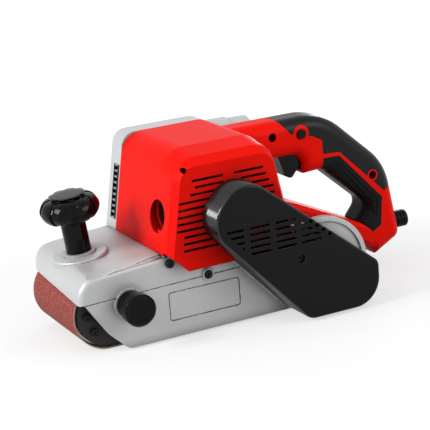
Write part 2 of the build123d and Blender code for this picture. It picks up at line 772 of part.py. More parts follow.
def reach_z(near, far, z):
    """Point where the line through two points reaches height z."""
    return (near[0] + (z - near[1]) / (far[1] - near[1]) * (far[0] - near[0]), z)


def reach_x(near, far, x):
    """Point where the line through two points reaches x."""
    return (x, near[1] + (x - near[0]) / (far[0] - near[0]) * (far[1] - near[1]))


def cover_outline(grow=0.0):
    """Side outline of the belt cover, larger all round by grow."""
    tip_top = on_drive(PULLEY_SPAN + COVER_TIP, COVER_TIP_ABOVE)
    tip_foot = on_drive(PULLEY_SPAN + COVER_TIP, -COVER_TIP_BELOW)
    root_top = on_drive(0.0, COVER_ROOT_ABOVE)
    root_foot = on_drive(0.0, -COVER_ROOT_BELOW)
    tail_x = REAR_X - COVER_TAIL
    rounds = [COVER_TIP_ROUND, COVER_TIP_ROUND, COVER_TOE_ROUND, COVER_HEEL_ROUND, COVER_TAIL_ROUND]
    with BuildSketch() as outline:
        with BuildLine():
            FilletPolyline(
                tip_top,
                tip_foot,
                reach_z(tip_foot, root_foot, COVER_FOOT_Z),
                (tail_x, COVER_FOOT_Z),
                reach_x(tip_top, root_top, tail_x),
                radius=rounds,
                close=True,
            )
        make_face()
        if grow != 0:
            offset(amount=grow, mode=Mode.REPLACE)
    return outline.sketch


def case_outline(inset=0.0):
    """Round drive case, flat at the foot, drawn in by inset."""
    foot = SKIRT_FOOT_Z + inset
    with BuildSketch() as outline:
        with Locations((CASE_X, CASE_Z)):
            Circle(CASE_RADIUS - inset)
        with Locations((CASE_X, foot + CASE_RADIUS)):
            Rectangle(2 * CASE_RADIUS, 2 * CASE_RADIUS, mode=Mode.INTERSECT)
    return outline.sketch


def skirt_outline():
    """Left wall of the frame: the skirt and the drive case behind it."""
    with BuildSketch() as outline:
        with BuildLine():
            FilletPolyline(
                (CASE_X, TUNNEL_Z),
                (CASE_X, SKIRT_FOOT_Z),
                (SKIRT_TOE_X, SKIRT_FOOT_Z),
                SKIRT_KNEE,
                (NOSE_X - NOSE_EDGE, LIP_Z),
                (NOSE_X - NOSE_ROUND - NOSE_EDGE, TUNNEL_Z),
                radius=[0, 0, SKIRT_TOE_ROUND, SKIRT_KNEE_ROUND, 0, 0],
                close=True,
            )
        make_face()
        add(case_outline())
    return outline.sketch


def cover_seat():
    """Raised seat for the cover's rim and, outside it, the raised rim of the drive case."""
    with BuildPart() as seat:
        with BuildSketch(side(SKIRT_Y + RIM_RISE)):
            add(case_outline())
            add(case_outline(CASE_RIM), mode=Mode.SUBTRACT)
            add(cover_outline(COVER_SEAT + SEAT_FIT), mode=Mode.SUBTRACT)
        extrude(amount=RIM_RISE)
        with BuildSketch(side(SEAT_Y)):
            add(cover_outline(COVER_SEAT))
            add(skirt_outline(), mode=Mode.INTERSECT)
        extrude(amount=COVER_SEAT)
    return seat.part


def guard_outline():
    """Section of the guard over the rear of the belt."""
    end = radians(90 + GUARD_SWEEP)
    outside = TUNNEL_RADIUS + GUARD_WALL
    with BuildSketch() as outline:
        with BuildLine():
            CenterArc(REAR_AXLE, TUNNEL_RADIUS, 90, GUARD_SWEEP)
            CenterArc(REAR_AXLE, outside, 90, GUARD_SWEEP)
            Line(
                (REAR_X + TUNNEL_RADIUS * cos(end), ROLLER_Z + TUNNEL_RADIUS * sin(end)),
                (REAR_X + outside * cos(end), ROLLER_Z + outside * sin(end)),
            )
            Polyline(
                (REAR_X, TUNNEL_Z),
                (DECK_REAR_X, TUNNEL_Z),
                (DECK_REAR_X, TUNNEL_Z + GUARD_WALL),
                (REAR_X, TUNNEL_Z + GUARD_WALL),
            )
        make_face()
    return outline.sketch


def deck_z(x):
    """Height of the deck where it slopes down to the nose."""
    return DECK_Z - NOSE_DROP * (x - NOSE_REAR_X) / (NOSE_X - NOSE_REAR_X)


def nose():
    """Nose of the frame: a deck that slopes and rounds down to a lip, with its left margin sloped off."""
    with BuildPart() as piece:
        with BuildSketch(side(SKIRT_Y)):
            with BuildLine():
                FilletPolyline(
                    (NOSE_REAR_X, LIP_Z),
                    (NOSE_X, LIP_Z),
                    (NOSE_X, NOSE_Z),
                    (NOSE_REAR_X, DECK_Z),
                    radius=[0, 0, NOSE_ROUND, 0],
                    close=True,
                )
            make_face()
        extrude(amount=SKIRT_Y - DECK_RIGHT_Y)
        rims = piece.edges().filter_by(lambda e: e.center().X > NOSE_REAR_X + ROLLER_END)
        rims = rims.filter_by(lambda e: e.center().Z > LIP_Z + SLIDE_FIT)
        fillet(rims.filter_by(lambda e: e.center().Y > SKIRT_Y - SLIDE_FIT), NOSE_EDGE)
        with BuildSketch(Plane.XY):
            with BuildLine():
                FilletPolyline(
                    (NOSE_REAR_X, DECK_RIGHT_Y),
                    (NOSE_X, DECK_RIGHT_Y),
                    (NOSE_X, SKIRT_Y),
                    (NOSE_REAR_X, SKIRT_Y),
                    radius=[0, NOSE_RIGHT_ROUND, 0, 0],
                    close=True,
                )
            make_face()
        extrude(amount=TOP_Z, mode=Mode.INTERSECT)
        rims = piece.edges().filter_by(Axis.Z, reverse=True)
        rims = rims.filter_by(lambda e: e.center().X > NOSE_REAR_X + ROLLER_END)
        rims = rims.filter_by(lambda e: e.center().Z > LIP_Z + ROLLER_END)
        fillet(rims.filter_by(lambda e: e.center().Y < -NOSE_RIGHT_ROUND / 2), NOSE_RIGHT_EDGE)
        for x in (NOSE_REAR_X, NOSE_X + ROLLER_END):
            with BuildSketch(Plane.YZ.offset(x)):
                with BuildLine():
                    Polyline(
                        (SHOULDER_Y[0], deck_z(x)),
                        (SHOULDER_Y[1], deck_z(x) - SHOULDER_DROP),
                        (SHOULDER_Y[1], deck_z(x) + SHOULDER_DROP),
                        (SHOULDER_Y[0], deck_z(x) + SHOULDER_DROP),
                        close=True,
                    )
                make_face()
        loft(ruled=True, mode=Mode.SUBTRACT)
        with BuildSketch(Plane.YZ.offset(FRONT_X)):
            with BuildLine():
                Polyline(
                    (SKIRT_IN_Y, LIP_Z),
                    (DECK_RIGHT_Y, LIP_Z),
                    (DECK_RIGHT_Y, LIP_Z + LIP_SLOPE),
                    close=True,
                )
            make_face()
        extrude(amount=NOSE_X - FRONT_X, mode=Mode.SUBTRACT)
    return piece.part


def ridge():
    """Raised line along the deck's left margin."""
    with BuildPart() as bead:
        with BuildLine():
            path = Spline(*RIDGE)
        with BuildSketch(Plane(origin=path @ 0, z_dir=path % 0)):
            Circle(RIDGE_RADIUS)
        sweep()
    return bead.part


def cove():
    """Hollow between the ridge and the top of the skirt, deepest at the housing."""
    with BuildPart() as hollow:
        for x, corners in zip(COVE_X, (COVE_REAR, COVE_FRONT)):
            with BuildSketch(Plane.YZ.offset(x)):
                with BuildLine():
                    Polyline(*corners, close=True)
                make_face()
        loft(ruled=True)
    return hollow.part


def knob_boss():
    """Stepped round boss under the front knob, with softened edges."""
    with BuildPart() as boss:
        with BuildSketch(KNOB_BASE):
            Circle(KNOB_BOSS)
        extrude(amount=KNOB_BOSS_RISE)
        extrude(boss.faces().sort_by(Axis.Z)[0], amount=DECK_FLOOR)
        with BuildSketch(KNOB_BASE.offset(KNOB_BOSS_RISE)):
            Circle(KNOB_STEP)
        extrude(amount=KNOB_STEP_RISE - KNOB_BOSS_RISE)
        tops = boss.faces().filter_by(lambda f: f.normal_at().Z > NEARLY_UP)
        fillet(tops.edges().group_by(SortBy.LENGTH)[-1], KNOB_EDGE)
    return boss.part


def two_circles(radii, places):
    """Common outline of two circles, as a belt stretched round them."""
    with BuildSketch() as outline:
        for place, radius in zip(places, radii):
            with Locations(place):
                Circle(radius)
        make_hull()
    return outline.sketch


COVER_SCREW = on_drive(COVER_SCREW_ALONG, -COVER_SCREW_BELOW)

# Main frame: one aluminium casting. A nose and deck over the belt, a skirt and a round drive case on the
# left, and a hollow beam inside the belt that carries the sanding plate and the front fork's carriage.
with BuildPart() as main_frame:
    add(nose())
    add(cove(), mode=Mode.SUBTRACT)
    add(ridge())
    with BuildSketch(side(SKIRT_Y)):
        add(skirt_outline())
    extrude(amount=SKIRT_WALL)
    block((DECK_REAR_X, DECK_RIGHT_Y, TUNNEL_Z), (NOSE_REAR_X, SKIRT_Y, DECK_Z))
    # Tunnel for the belt, open to the right
    with BuildSketch(side(SKIRT_IN_Y)):
        with Locations(FRONT_AXLE):
            Circle(TUNNEL_RADIUS)
        with BuildLine():
            Polyline(
                (DECK_REAR_X - BELT_CLEAR, 0.0),
                (FRONT_X, 0.0),
                (FRONT_X, TUNNEL_Z),
                (DECK_REAR_X - BELT_CLEAR, TUNNEL_Z),
                close=True,
            )
        make_face()
    extrude(amount=SKIRT_IN_Y - DECK_RIGHT_Y, mode=Mode.SUBTRACT)
    with BuildSketch(side(SKIRT_IN_Y)):
        add(guard_outline())
    extrude(amount=SKIRT_IN_Y - BEAM_RIGHT_Y)
    add(cover_seat())
    # Beam inside the belt, open to the right, with a sole for the sanding plate
    block((BEAM_REAR_X, BEAM_RIGHT_Y, BEAM_LOW_Z), (BEAM_FRONT_X, SKIRT_IN_Y, BEAM_HIGH_Z))
    block(
        (BEAM_REAR_X + BEAM_WALL, BEAM_RIGHT_Y, BEAM_LOW_Z + BEAM_WALL),
        (BEAM_FRONT_X - BEAM_WALL, SKIRT_IN_Y - BEAM_WALL, BEAM_HIGH_Z - BEAM_WALL),
        mode=Mode.SUBTRACT,
    )
    block(
        (-PLATE_LENGTH / 2, -PLATE_WIDTH / 2, SOLE_LOW_Z),
        (PLATE_LENGTH / 2, PLATE_WIDTH / 2, SOLE_HIGH_Z),
    )
    # Rib that the tension spring pushes on, and the holes for its rod, the tongue and the lever's pin
    block((RIB_X - RIB_DEPTH, FOLLOWER_Y[0] + BEAM_WALL, BEAM_LOW_Z), (RIB_X, SKIRT_IN_Y, BEAM_HIGH_Z))
    rod_x(0, ROLLER_Z, GUIDE_RADIUS + SLIDE_FIT, RIB_X - RIB_DEPTH, RIB_X, mode=Mode.SUBTRACT)
    block(
        (BEAM_FRONT_X - BEAM_WALL, -TONGUE_WIDTH / 2 - SLIDE_FIT, ROLLER_Z - TONGUE_HEIGHT / 2 - SLIDE_FIT),
        (BEAM_FRONT_X, TONGUE_WIDTH / 2 + SLIDE_FIT, ROLLER_Z + TONGUE_HEIGHT / 2 + SLIDE_FIT),
        mode=Mode.SUBTRACT,
    )
    rod_z((LEVER_X, LEVER_Y), LEVER_PIN + PRESS_FIT, BEAM_LOW_Z, BEAM_HIGH_Z, mode=Mode.SUBTRACT)
    # Right-hand arm and left-hand boss for the drive roller's bearings
    block(
        (REAR_X, RIGHT_ARM_Y, ROLLER_Z - DRIVE_RIGHT_BEARING[1]),
        (BEAM_REAR_X + BEAM_WALL, BEAM_RIGHT_Y, ROLLER_Z + DRIVE_RIGHT_BEARING[1]),
    )
    rod_y(REAR_AXLE, DRIVE_RIGHT_BEARING[1] + BEARING_WALL, RIGHT_ARM_Y, RIGHT_HUB_Y)
    rod_y(REAR_AXLE, DRIVE_RIGHT_BEARING[1], RIGHT_SEAT_Y, RIGHT_HUB_Y, mode=Mode.SUBTRACT)
    rod_y(REAR_AXLE, DRIVE_LEFT_BEARING[1] + BEARING_WALL, DRIVE_BOSS_Y, SEAT_Y)
    rod_y(REAR_AXLE, DRIVE_LEFT_BEARING[1], DRIVE_BEARING_Y, SEAT_Y, mode=Mode.SUBTRACT)
    rod_y(REAR_AXLE, DRIVE_LEFT_BEARING[1] - BEARING_LIP, DRIVE_BOSS_Y, SEAT_Y, mode=Mode.SUBTRACT)
    # Motor well, with a drilled pad under each foot of the housing
    block(
        (REAR_FOOT_X + BOSS_IN, DECK_RIGHT_Y + 2 * HOUSING_WALL, WELL_Z),
        (FRONT_FOOT_X - BOSS_IN, SKIRT_IN_Y, DECK_Z),
        mode=Mode.SUBTRACT,
    )
    for foot in HOUSING_FEET:
        rod_z(foot, SCREW_BOSS, TUNNEL_Z, DECK_Z)
        seat = facing((*foot, TUNNEL_Z + SCREW_HEAD_DEPTH + SEAT_FIT), (0, 0, -1))
        add(screw_room(seat, DECK_DEPTH, SCREW_HEAD_DEPTH + SEAT_FIT), mode=Mode.SUBTRACT)
    # Stepped boss for the front knob
    add(knob_boss())
    with BuildSketch(KNOB_BASE.offset(KNOB_STEP_RISE)):
        Circle(KNOB_STUD + PRESS_FIT)
    extrude(amount=-KNOB_STUD_DEPTH, mode=Mode.SUBTRACT)
    # Boss for the tracking screw
    rod_y(TRACK_AXLE, TRACK_PAD, SKIRT_Y, TRACK_PAD_Y)
    rod_y(TRACK_AXLE, 2 * TRACK_SCREW, SKIRT_IN_Y - SKIRT_GAP / 2, SKIRT_IN_Y)
    rod_y(TRACK_AXLE, TRACK_SCREW + RUN_FIT, BELT_HALF, TRACK_PAD_Y, mode=Mode.SUBTRACT)
    # Groove along the skirt, the sunk panel with a groove round it, a boss with a screw, and a second screw
    with BuildSketch(side(SKIRT_Y)):
        with BuildLine():
            Polyline(
                (GROOVE_REAR_X, GROOVE_Z[0] - GROOVE_WIDTH / 2),
                (NOSE_X, GROOVE_Z[1] - GROOVE_WIDTH / 2),
                (NOSE_X, GROOVE_Z[1] + GROOVE_WIDTH / 2),
                (GROOVE_REAR_X, GROOVE_Z[0] + GROOVE_WIDTH / 2),
                close=True,
            )
        make_face()
    extrude(amount=GROOVE_DEPTH, mode=Mode.SUBTRACT)
    with BuildSketch(side(SKIRT_Y)):
        with Locations((sum(SUNK_X) / 2, sum(SUNK_Z) / 2)):
            RectangleRounded(SUNK_X[1] - SUNK_X[0], SUNK_Z[1] - SUNK_Z[0], SUNK_CORNER)
    extrude(amount=SUNK_DEPTH, mode=Mode.SUBTRACT)
    with BuildSketch(side(SKIRT_Y)):
        with Locations((sum(SUNK_X) / 2, sum(SUNK_Z) / 2)):
            RectangleRounded(SUNK_X[1] - SUNK_X[0], SUNK_Z[1] - SUNK_Z[0], SUNK_CORNER)
        offset(amount=-GROOVE_WIDTH, mode=Mode.SUBTRACT)
    extrude(amount=SUNK_DEPTH + GROOVE_DEPTH, mode=Mode.SUBTRACT)
    rod_y(SKIRT_SCREW, SCREW_BOSS, SKIRT_IN_Y, SKIRT_Y + RIM_RISE)
    seat = facing((SKIRT_SCREW[0], SKIRT_Y, SKIRT_SCREW[1]), (0, 1, 0))
    add(screw_room(seat, SKIRT_WALL, SCREW_HEAD_DEPTH), mode=Mode.SUBTRACT)
    rod_y(TOE_SCREW, SCREW_SHANK + SCREW_FIT, SKIRT_IN_Y, SKIRT_Y, mode=Mode.SUBTRACT)
    # Post for the belt cover's screw
    rod_y(COVER_SCREW, SCREW_BOSS, SKIRT_Y, POST_Y)
    rod_y(COVER_SCREW, SCREW_SHANK + SCREW_FIT, SKIRT_Y, POST_Y, mode=Mode.SUBTRACT)
    for x in (-PLATE_SCREW_X, PLATE_SCREW_X):
        for y in (-PLATE_SCREW_Y, PLATE_SCREW_Y):
            rod_z((x, y), SCREW_SHANK + SCREW_FIT, 0.0, BEAM_LOW_Z + BEAM_WALL, mode=Mode.SUBTRACT)
main_frame.part.label = "main_frame"
export_step(main_frame.part, "parts/main_frame.step")

# Abrasive belt: a closed loop of cloth and grit round the two rollers
with BuildPart() as sanding_belt:
    with BuildSketch(side(BELT_HALF)):
        add(two_circles((BELT_RADIUS, BELT_RADIUS), (REAR_AXLE, FRONT_AXLE)))
        add(two_circles((BELT_INSIDE, BELT_INSIDE), (REAR_AXLE, FRONT_AXLE)), mode=Mode.SUBTRACT)
    extrude(amount=BELT_WIDTH)
sanding_belt.part.label = "sanding_belt"
export_step(sanding_belt.part, "parts/sanding_belt.step")

# Sanding plate: a steel sheet that the belt runs on, with a cork pad between it and the casting's sole
with BuildPart() as platen_sheet:
    block(
        (-PLATE_LENGTH / 2, -PLATE_WIDTH / 2, SHEET_LOW_Z),
        (PLATE_LENGTH / 2, PLATE_WIDTH / 2, PAD_LOW_Z),
    )
platen_sheet.part.label = "platen_sheet"
export_step(platen_sheet.part, "parts/platen_sheet.step")

with BuildPart() as platen_pad:
    block(
        (-PLATE_LENGTH / 2, -PLATE_WIDTH / 2, PAD_LOW_Z),
        (PLATE_LENGTH / 2, PLATE_WIDTH / 2, SOLE_LOW_Z),
    )
    for x in (-PLATE_SCREW_X, PLATE_SCREW_X):
        for y in (-PLATE_SCREW_Y, PLATE_SCREW_Y):
            rod_z((x, y), SCREW_SHANK + SCREW_FIT, PAD_LOW_Z, SOLE_LOW_Z, mode=Mode.SUBTRACT)
platen_pad.part.label = "platen_pad"
export_step(platen_pad.part, "parts/platen_pad.step")

# The rear screws go through the beam's floor, the front ones through the sole ahead of the beam
with BuildPart() as platen_screws:
    for x, seat_z in ((-PLATE_SCREW_X, BEAM_LOW_Z + BEAM_WALL), (PLATE_SCREW_X, SOLE_HIGH_Z)):
        for y in (-PLATE_SCREW_Y, PLATE_SCREW_Y):
            add(screw(facing((x, y, seat_z), (0, 0, 1)), seat_z - PAD_LOW_Z))
platen_screws.part.label = "platen_screws"
export_step(platen_screws.part, "parts/platen_screws.step")

# Drive roller: an aluminium core with rubber lagging, pressed on the drive shaft
CORE_RADIUS = ROLLER_RADIUS - LAGGING
RECESS_RADIUS = DRIVE_RIGHT_BEARING[1] + BEARING_WALL + ROLLER_RECESS
RECESS_Y = RIGHT_HUB_Y + ROLLER_END
with BuildPart() as drive_roller_core:
    add(
        turned(
            REAR_AXLE,
            [
                (ROLLER_RIGHT_Y, RECESS_RADIUS),
                (ROLLER_RIGHT_Y, CORE_RADIUS),
                (ROLLER_LEFT_Y, CORE_RADIUS),
                (ROLLER_LEFT_Y, DRIVE_LEFT_BEARING[0] + PRESS_FIT),
                (RECESS_Y, DRIVE_LEFT_BEARING[0] + PRESS_FIT),
                (RECESS_Y, RECESS_RADIUS),
            ],
        )
    )
drive_roller_core.part.label = "drive_roller_core"
export_step(drive_roller_core.part, "parts/drive_roller_core.step")

with BuildPart() as drive_roller_tyre:
    rod_y(REAR_AXLE, ROLLER_RADIUS, ROLLER_RIGHT_Y, ROLLER_LEFT_Y)
    rod_y(REAR_AXLE, CORE_RADIUS + PRESS_FIT, ROLLER_RIGHT_Y, ROLLER_LEFT_Y, mode=Mode.SUBTRACT)
drive_roller_tyre.part.label = "drive_roller_tyre"
export_step(drive_roller_tyre.part, "parts/drive_roller_tyre.step")

DRIVE_SHAFT_STEP_Y = DRIVE_BEARING_Y + DRIVE_LEFT_BEARING[2] + ROLLER_END
NUT_Y = PULLEY_END_Y + NUT_DEPTH
with BuildPart() as drive_shaft:
    rod_y(REAR_AXLE, DRIVE_RIGHT_BEARING[0], RIGHT_SEAT_Y + ROLLER_END, RIGHT_HUB_Y)
    rod_y(REAR_AXLE, DRIVE_LEFT_BEARING[0], RIGHT_HUB_Y, DRIVE_SHAFT_STEP_Y)
    rod_y(REAR_AXLE, DRIVEN_SHAFT, DRIVE_SHAFT_STEP_Y, NUT_Y + ROLLER_END / 2)
drive_shaft.part.label = "drive_shaft"
export_step(drive_shaft.part, "parts/drive_shaft.step")

with BuildPart() as drive_bearings:
    add(bearing(REAR_AXLE, DRIVE_BEARING_Y, DRIVE_LEFT_BEARING))
    add(bearing(REAR_AXLE, RIGHT_SEAT_Y, DRIVE_RIGHT_BEARING))
drive_bearings.part.label = "drive_bearings"
export_step(drive_bearings.part, "parts/drive_bearings.step")

# Driven pulley: hub, web and flanged rim, held on the shaft by a nut
PULLEY_MIDDLE_Y = (PULLEY_Y + PULLEY_END_Y) / 2
WEB_LOW_Y = PULLEY_MIDDLE_Y - DRIVEN_WEB / 2
WEB_HIGH_Y = PULLEY_MIDDLE_Y + DRIVEN_WEB / 2
with BuildPart() as driven_pulley:
    rod_y(REAR_AXLE, DRIVEN_RADIUS, PULLEY_Y, PULLEY_END_Y)
    rod_y(REAR_AXLE, DRIVEN_RADIUS + PULLEY_FLANGE_RISE, PULLEY_Y, PULLEY_Y + PULLEY_FLANGE)
    rod_y(REAR_AXLE, DRIVEN_RADIUS + PULLEY_FLANGE_RISE, PULLEY_END_Y - PULLEY_FLANGE, PULLEY_END_Y)
    for low, high in ((PULLEY_Y, WEB_LOW_Y), (WEB_HIGH_Y, PULLEY_END_Y)):
        rod_y(REAR_AXLE, DRIVEN_RADIUS - DRIVEN_RIM, low, high, mode=Mode.SUBTRACT)
        rod_y(REAR_AXLE, DRIVEN_HUB, low, high)
    rod_y(REAR_AXLE, DRIVEN_SHAFT + PRESS_FIT, PULLEY_Y, PULLEY_END_Y, mode=Mode.SUBTRACT)
driven_pulley.part.label = "driven_pulley"
export_step(driven_pulley.part, "parts/driven_pulley.step")

with BuildPart() as pulley_nut:
    with BuildSketch(side(NUT_Y)):
        with Locations(REAR_AXLE):
            RegularPolygon(NUT_WIDTH / 2, 6, major_radius=False)
            Circle(DRIVEN_SHAFT + PRESS_FIT, mode=Mode.SUBTRACT)
    extrude(amount=NUT_DEPTH)
pulley_nut.part.label = "pulley_nut"
export_step(pulley_nut.part, "parts/pulley_nut.step")

with BuildPart() as motor_pulley:
    rod_y(MOTOR_AXLE, MOTOR_PULLEY_RADIUS, PULLEY_Y, PULLEY_END_Y)
    rod_y(MOTOR_AXLE, MOTOR_PULLEY_RADIUS + PULLEY_FLANGE_RISE, PULLEY_Y, PULLEY_Y + PULLEY_FLANGE)
    rod_y(MOTOR_AXLE, MOTOR_PULLEY_RADIUS + PULLEY_FLANGE_RISE, PULLEY_END_Y - PULLEY_FLANGE, PULLEY_END_Y)
    rod_y(MOTOR_AXLE, MOTOR_PULLEY_SHAFT + PRESS_FIT, PULLEY_Y, PULLEY_END_Y, mode=Mode.SUBTRACT)
motor_pulley.part.label = "motor_pulley"
export_step(motor_pulley.part, "parts/motor_pulley.step")

# Drive belt: runs between the pulleys' flanges, a little clear of both pulleys
LOOP_INSIDE = (DRIVEN_RADIUS + DRIVE_BELT_GAP, MOTOR_PULLEY_RADIUS + DRIVE_BELT_GAP)
LOOP_OUTSIDE = [radius + DRIVE_BELT_THICKNESS for radius in LOOP_INSIDE]
LOOP_EDGE = PULLEY_FLANGE + DRIVE_BELT_GAP
with BuildPart() as drive_belt:
    with BuildSketch(side(PULLEY_END_Y - LOOP_EDGE)):
        add(two_circles(LOOP_OUTSIDE, (REAR_AXLE, MOTOR_AXLE)))
        add(two_circles(LOOP_INSIDE, (REAR_AXLE, MOTOR_AXLE)), mode=Mode.SUBTRACT)
    extrude(amount=PULLEY_WIDTH - 2 * LOOP_EDGE)
drive_belt.part.label = "drive_belt"
export_step(drive_belt.part, "parts/drive_belt.step")

# Armature: shaft, slotted core, windings, commutator and cooling fan turn together
with BuildPart() as armature_shaft:
    rod_y(MOTOR_AXLE, MOTOR_RIGHT_BEARING[0], END_SEAT_Y + ROLLER_END / 2, HOUSING_RIGHT_Y)
    rod_y(MOTOR_AXLE, SHAFT_RADIUS, HOUSING_RIGHT_Y, LEFT_BEARING_Y - ROLLER_END)
    rod_y(MOTOR_AXLE, MOTOR_LEFT_BEARING[0], LEFT_BEARING_Y - ROLLER_END, PANEL_Y + ROLLER_END)
    rod_y(MOTOR_AXLE, MOTOR_PULLEY_SHAFT, PANEL_Y + ROLLER_END, PULLEY_END_Y + ROLLER_END)
armature_shaft.part.label = "armature_shaft"
export_step(armature_shaft.part, "parts/armature_shaft.step")

with BuildPart() as armature_core:
    with BuildSketch(side(STATOR_LEFT_Y)):
        with Locations(MOTOR_AXLE):
            Circle(ARMATURE_RADIUS)
            Circle(SHAFT_RADIUS + PRESS_FIT, mode=Mode.SUBTRACT)
            with PolarLocations(ARMATURE_RADIUS - ARMATURE_SLOT_DEPTH / 2, ARMATURE_SLOTS):
                Rectangle(ARMATURE_SLOT_DEPTH + AIR_GAP, ARMATURE_SLOT_WIDTH, mode=Mode.SUBTRACT)
    extrude(amount=STATOR_LENGTH)
armature_core.part.label = "armature_core"
export_step(armature_core.part, "parts/armature_core.step")

WINDING_OUT = ARMATURE_RADIUS - WINDING_INSET
with BuildPart() as armature_windings:
    for end, way in ((STATOR_LEFT_Y, 1), (STATOR_RIGHT_Y, -1)):
        add(
            turned(
                MOTOR_AXLE,
                [
                    (end, SHAFT_RADIUS + PRESS_FIT),
                    (end, WINDING_OUT),
                    (end + way * WINDING_REACH / 2, WINDING_OUT),
                    (end + way * WINDING_REACH, WINDING_OUT - 2 * WINDING_INSET),
                    (end + way * WINDING_REACH, SHAFT_RADIUS + PRESS_FIT),
                ],
            )
        )
armature_windings.part.label = "armature_windings"
export_step(armature_windings.part, "parts/armature_windings.step")

with BuildPart() as commutator:
    rod_y(MOTOR_AXLE, COMMUTATOR_RADIUS, COMMUTATOR_Y, COMMUTATOR_Y + COMMUTATOR_LENGTH)
    rod_y(
        MOTOR_AXLE,
        SHAFT_RADIUS + PRESS_FIT,
        COMMUTATOR_Y,
        COMMUTATOR_Y + COMMUTATOR_LENGTH,
        mode=Mode.SUBTRACT,
    )
commutator.part.label = "commutator"
export_step(commutator.part, "parts/commutator.step")

with BuildPart() as cooling_fan:
    with BuildSketch(side(FAN_Y + FAN_WIDTH)):
        with Locations(MOTOR_AXLE):
            Circle(FAN_HUB)
            with PolarLocations((FAN_RADIUS + FAN_HUB) / 2 - FAN_BLADE, FAN_BLADES):
                Rectangle(FAN_RADIUS - FAN_HUB, FAN_BLADE)
    extrude(amount=FAN_WIDTH)
    rod_y(MOTOR_AXLE, FAN_RADIUS, FAN_Y, FAN_Y + FAN_PLATE)
    rod_y(MOTOR_AXLE, MOTOR_RIGHT_BEARING[0] + PRESS_FIT, FAN_Y, FAN_Y + FAN_WIDTH, mode=Mode.SUBTRACT)
cooling_fan.part.label = "cooling_fan"
export_step(cooling_fan.part, "parts/cooling_fan.step")

with BuildPart() as motor_bearings:
    add(bearing(MOTOR_AXLE, LEFT_BEARING_Y, MOTOR_LEFT_BEARING))
    add(bearing(MOTOR_AXLE, END_SEAT_Y, MOTOR_RIGHT_BEARING))
motor_bearings.part.label = "motor_bearings"
export_step(motor_bearings.part, "parts/motor_bearings.step")

# Stator: core and field windings, clamped in the ribs of the motor housing
STATOR_BORE = ARMATURE_RADIUS + AIR_GAP
with BuildPart() as stator_core:
    rod_y(MOTOR_AXLE, STATOR_RADIUS, STATOR_RIGHT_Y, STATOR_LEFT_Y)
    rod_y(MOTOR_AXLE, STATOR_BORE, STATOR_RIGHT_Y, STATOR_LEFT_Y, mode=Mode.SUBTRACT)
stator_core.part.label = "stator_core"
export_step(stator_core.part, "parts/stator_core.step")

with BuildPart() as field_windings:
    for low, high in (
        (STATOR_LEFT_Y, STATOR_LEFT_Y + WINDING_REACH),
        (STATOR_RIGHT_Y - WINDING_REACH, STATOR_RIGHT_Y),
    ):
        rod_y(MOTOR_AXLE, STATOR_RADIUS - WINDING_INSET, low, high)
        rod_y(MOTOR_AXLE, STATOR_BORE + WINDING_INSET, low, high, mode=Mode.SUBTRACT)
field_windings.part.label = "field_windings"
export_step(field_windings.part, "parts/field_windings.step")

# Brushes: each slides in a brass tube and is held by a screwed cap in its recess
BRUSH_NEAR = COMMUTATOR_RADIUS + SLIDE_FIT
HOLDER_NEAR = COMMUTATOR_RADIUS + HOLDER_WALL
HOLDER_FAR = BRUSH_DEPTH - HOUSING_WALL
HOLDER_HALF_Y = BRUSH_WIDTH / 2 + SEAT_FIT
HOLDER_HALF_Z = BRUSH_HEIGHT / 2 + SEAT_FIT


def brush_block(way, near, far, half_y, half_z, mode=Mode.ADD):
    """Box along a brush, from near to far off the motor axis, ahead of it or behind it."""
    low, high = sorted((MOTOR_X + way * near, MOTOR_X + way * far))
    block(
        (low, BRUSH_Y - half_y, MOTOR_Z - half_z),
        (high, BRUSH_Y + half_y, MOTOR_Z + half_z),
        mode=mode,
    )


with BuildPart() as carbon_brushes:
    for way in (-1, 1):
        brush_block(way, BRUSH_NEAR, BRUSH_NEAR + BRUSH_LENGTH, BRUSH_WIDTH / 2, BRUSH_HEIGHT / 2)
carbon_brushes.part.label = "carbon_brushes"
export_step(carbon_brushes.part, "parts/carbon_brushes.step")

with BuildPart() as brush_holders:
    for way in (-1, 1):
        brush_block(way, HOLDER_NEAR, HOLDER_FAR, HOLDER_HALF_Y + HOLDER_WALL, HOLDER_HALF_Z + HOLDER_WALL)
        brush_block(way, HOLDER_NEAR, HOLDER_FAR, HOLDER_HALF_Y, HOLDER_HALF_Z, mode=Mode.SUBTRACT)
brush_holders.part.label = "brush_holders"
export_step(brush_holders.part, "parts/brush_holders.step")

CAP_FAR = BRUSH_DEPTH + BRUSH_CAP_PROUD
with BuildPart() as brush_caps:
    for way in (-1, 1):
        low, high = sorted((MOTOR_X + way * HOLDER_FAR, MOTOR_X + way * CAP_FAR))
        rod_x(BRUSH_Y, MOTOR_Z, BRUSH_CAP, low, high)
        brush_block(way, CAP_FAR - BRUSH_CAP_SLOT, CAP_FAR, BRUSH_CAP, HOLDER_WALL / 2, mode=Mode.SUBTRACT)
brush_caps.part.label = "brush_caps"
export_step(brush_caps.part, "parts/brush_caps.step")

# Motor housing and handle: one moulding in two halves that part on the sander's middle plane. Pockets in
# it take the brush caps, and ribs clamp the stator.
END_SCREWS = [(front_x(z, END_SCREW_IN), z) for z in END_SCREW_FRONT_Z]
END_SCREWS += [(rear_x(z, END_SCREW_IN), z) for z in END_SCREW_REAR_Z]
END_SCREW_LENGTH = END_DEPTH - SCREW_HEAD_DEPTH + END_SCREW_BITE
END_BOSS_Y = HOUSING_RIGHT_Y + END_SCREW_BITE + ROLLER_END
HOUSING_SCREWS = [(behind(*place), HANDLE_SCREW_SEAT, 1.0) for place in HANDLE_SCREWS]
HOUSING_SCREWS += [(PANEL_SCREW, PANEL_SCREW_SEAT, PANEL_SCREW_SCALE)]
HANDLE_BOSS_HALF = HANDLE_HALF - PAD_DEPTH / 2
GLAND_Z = DECK_Z + GLAND_UP


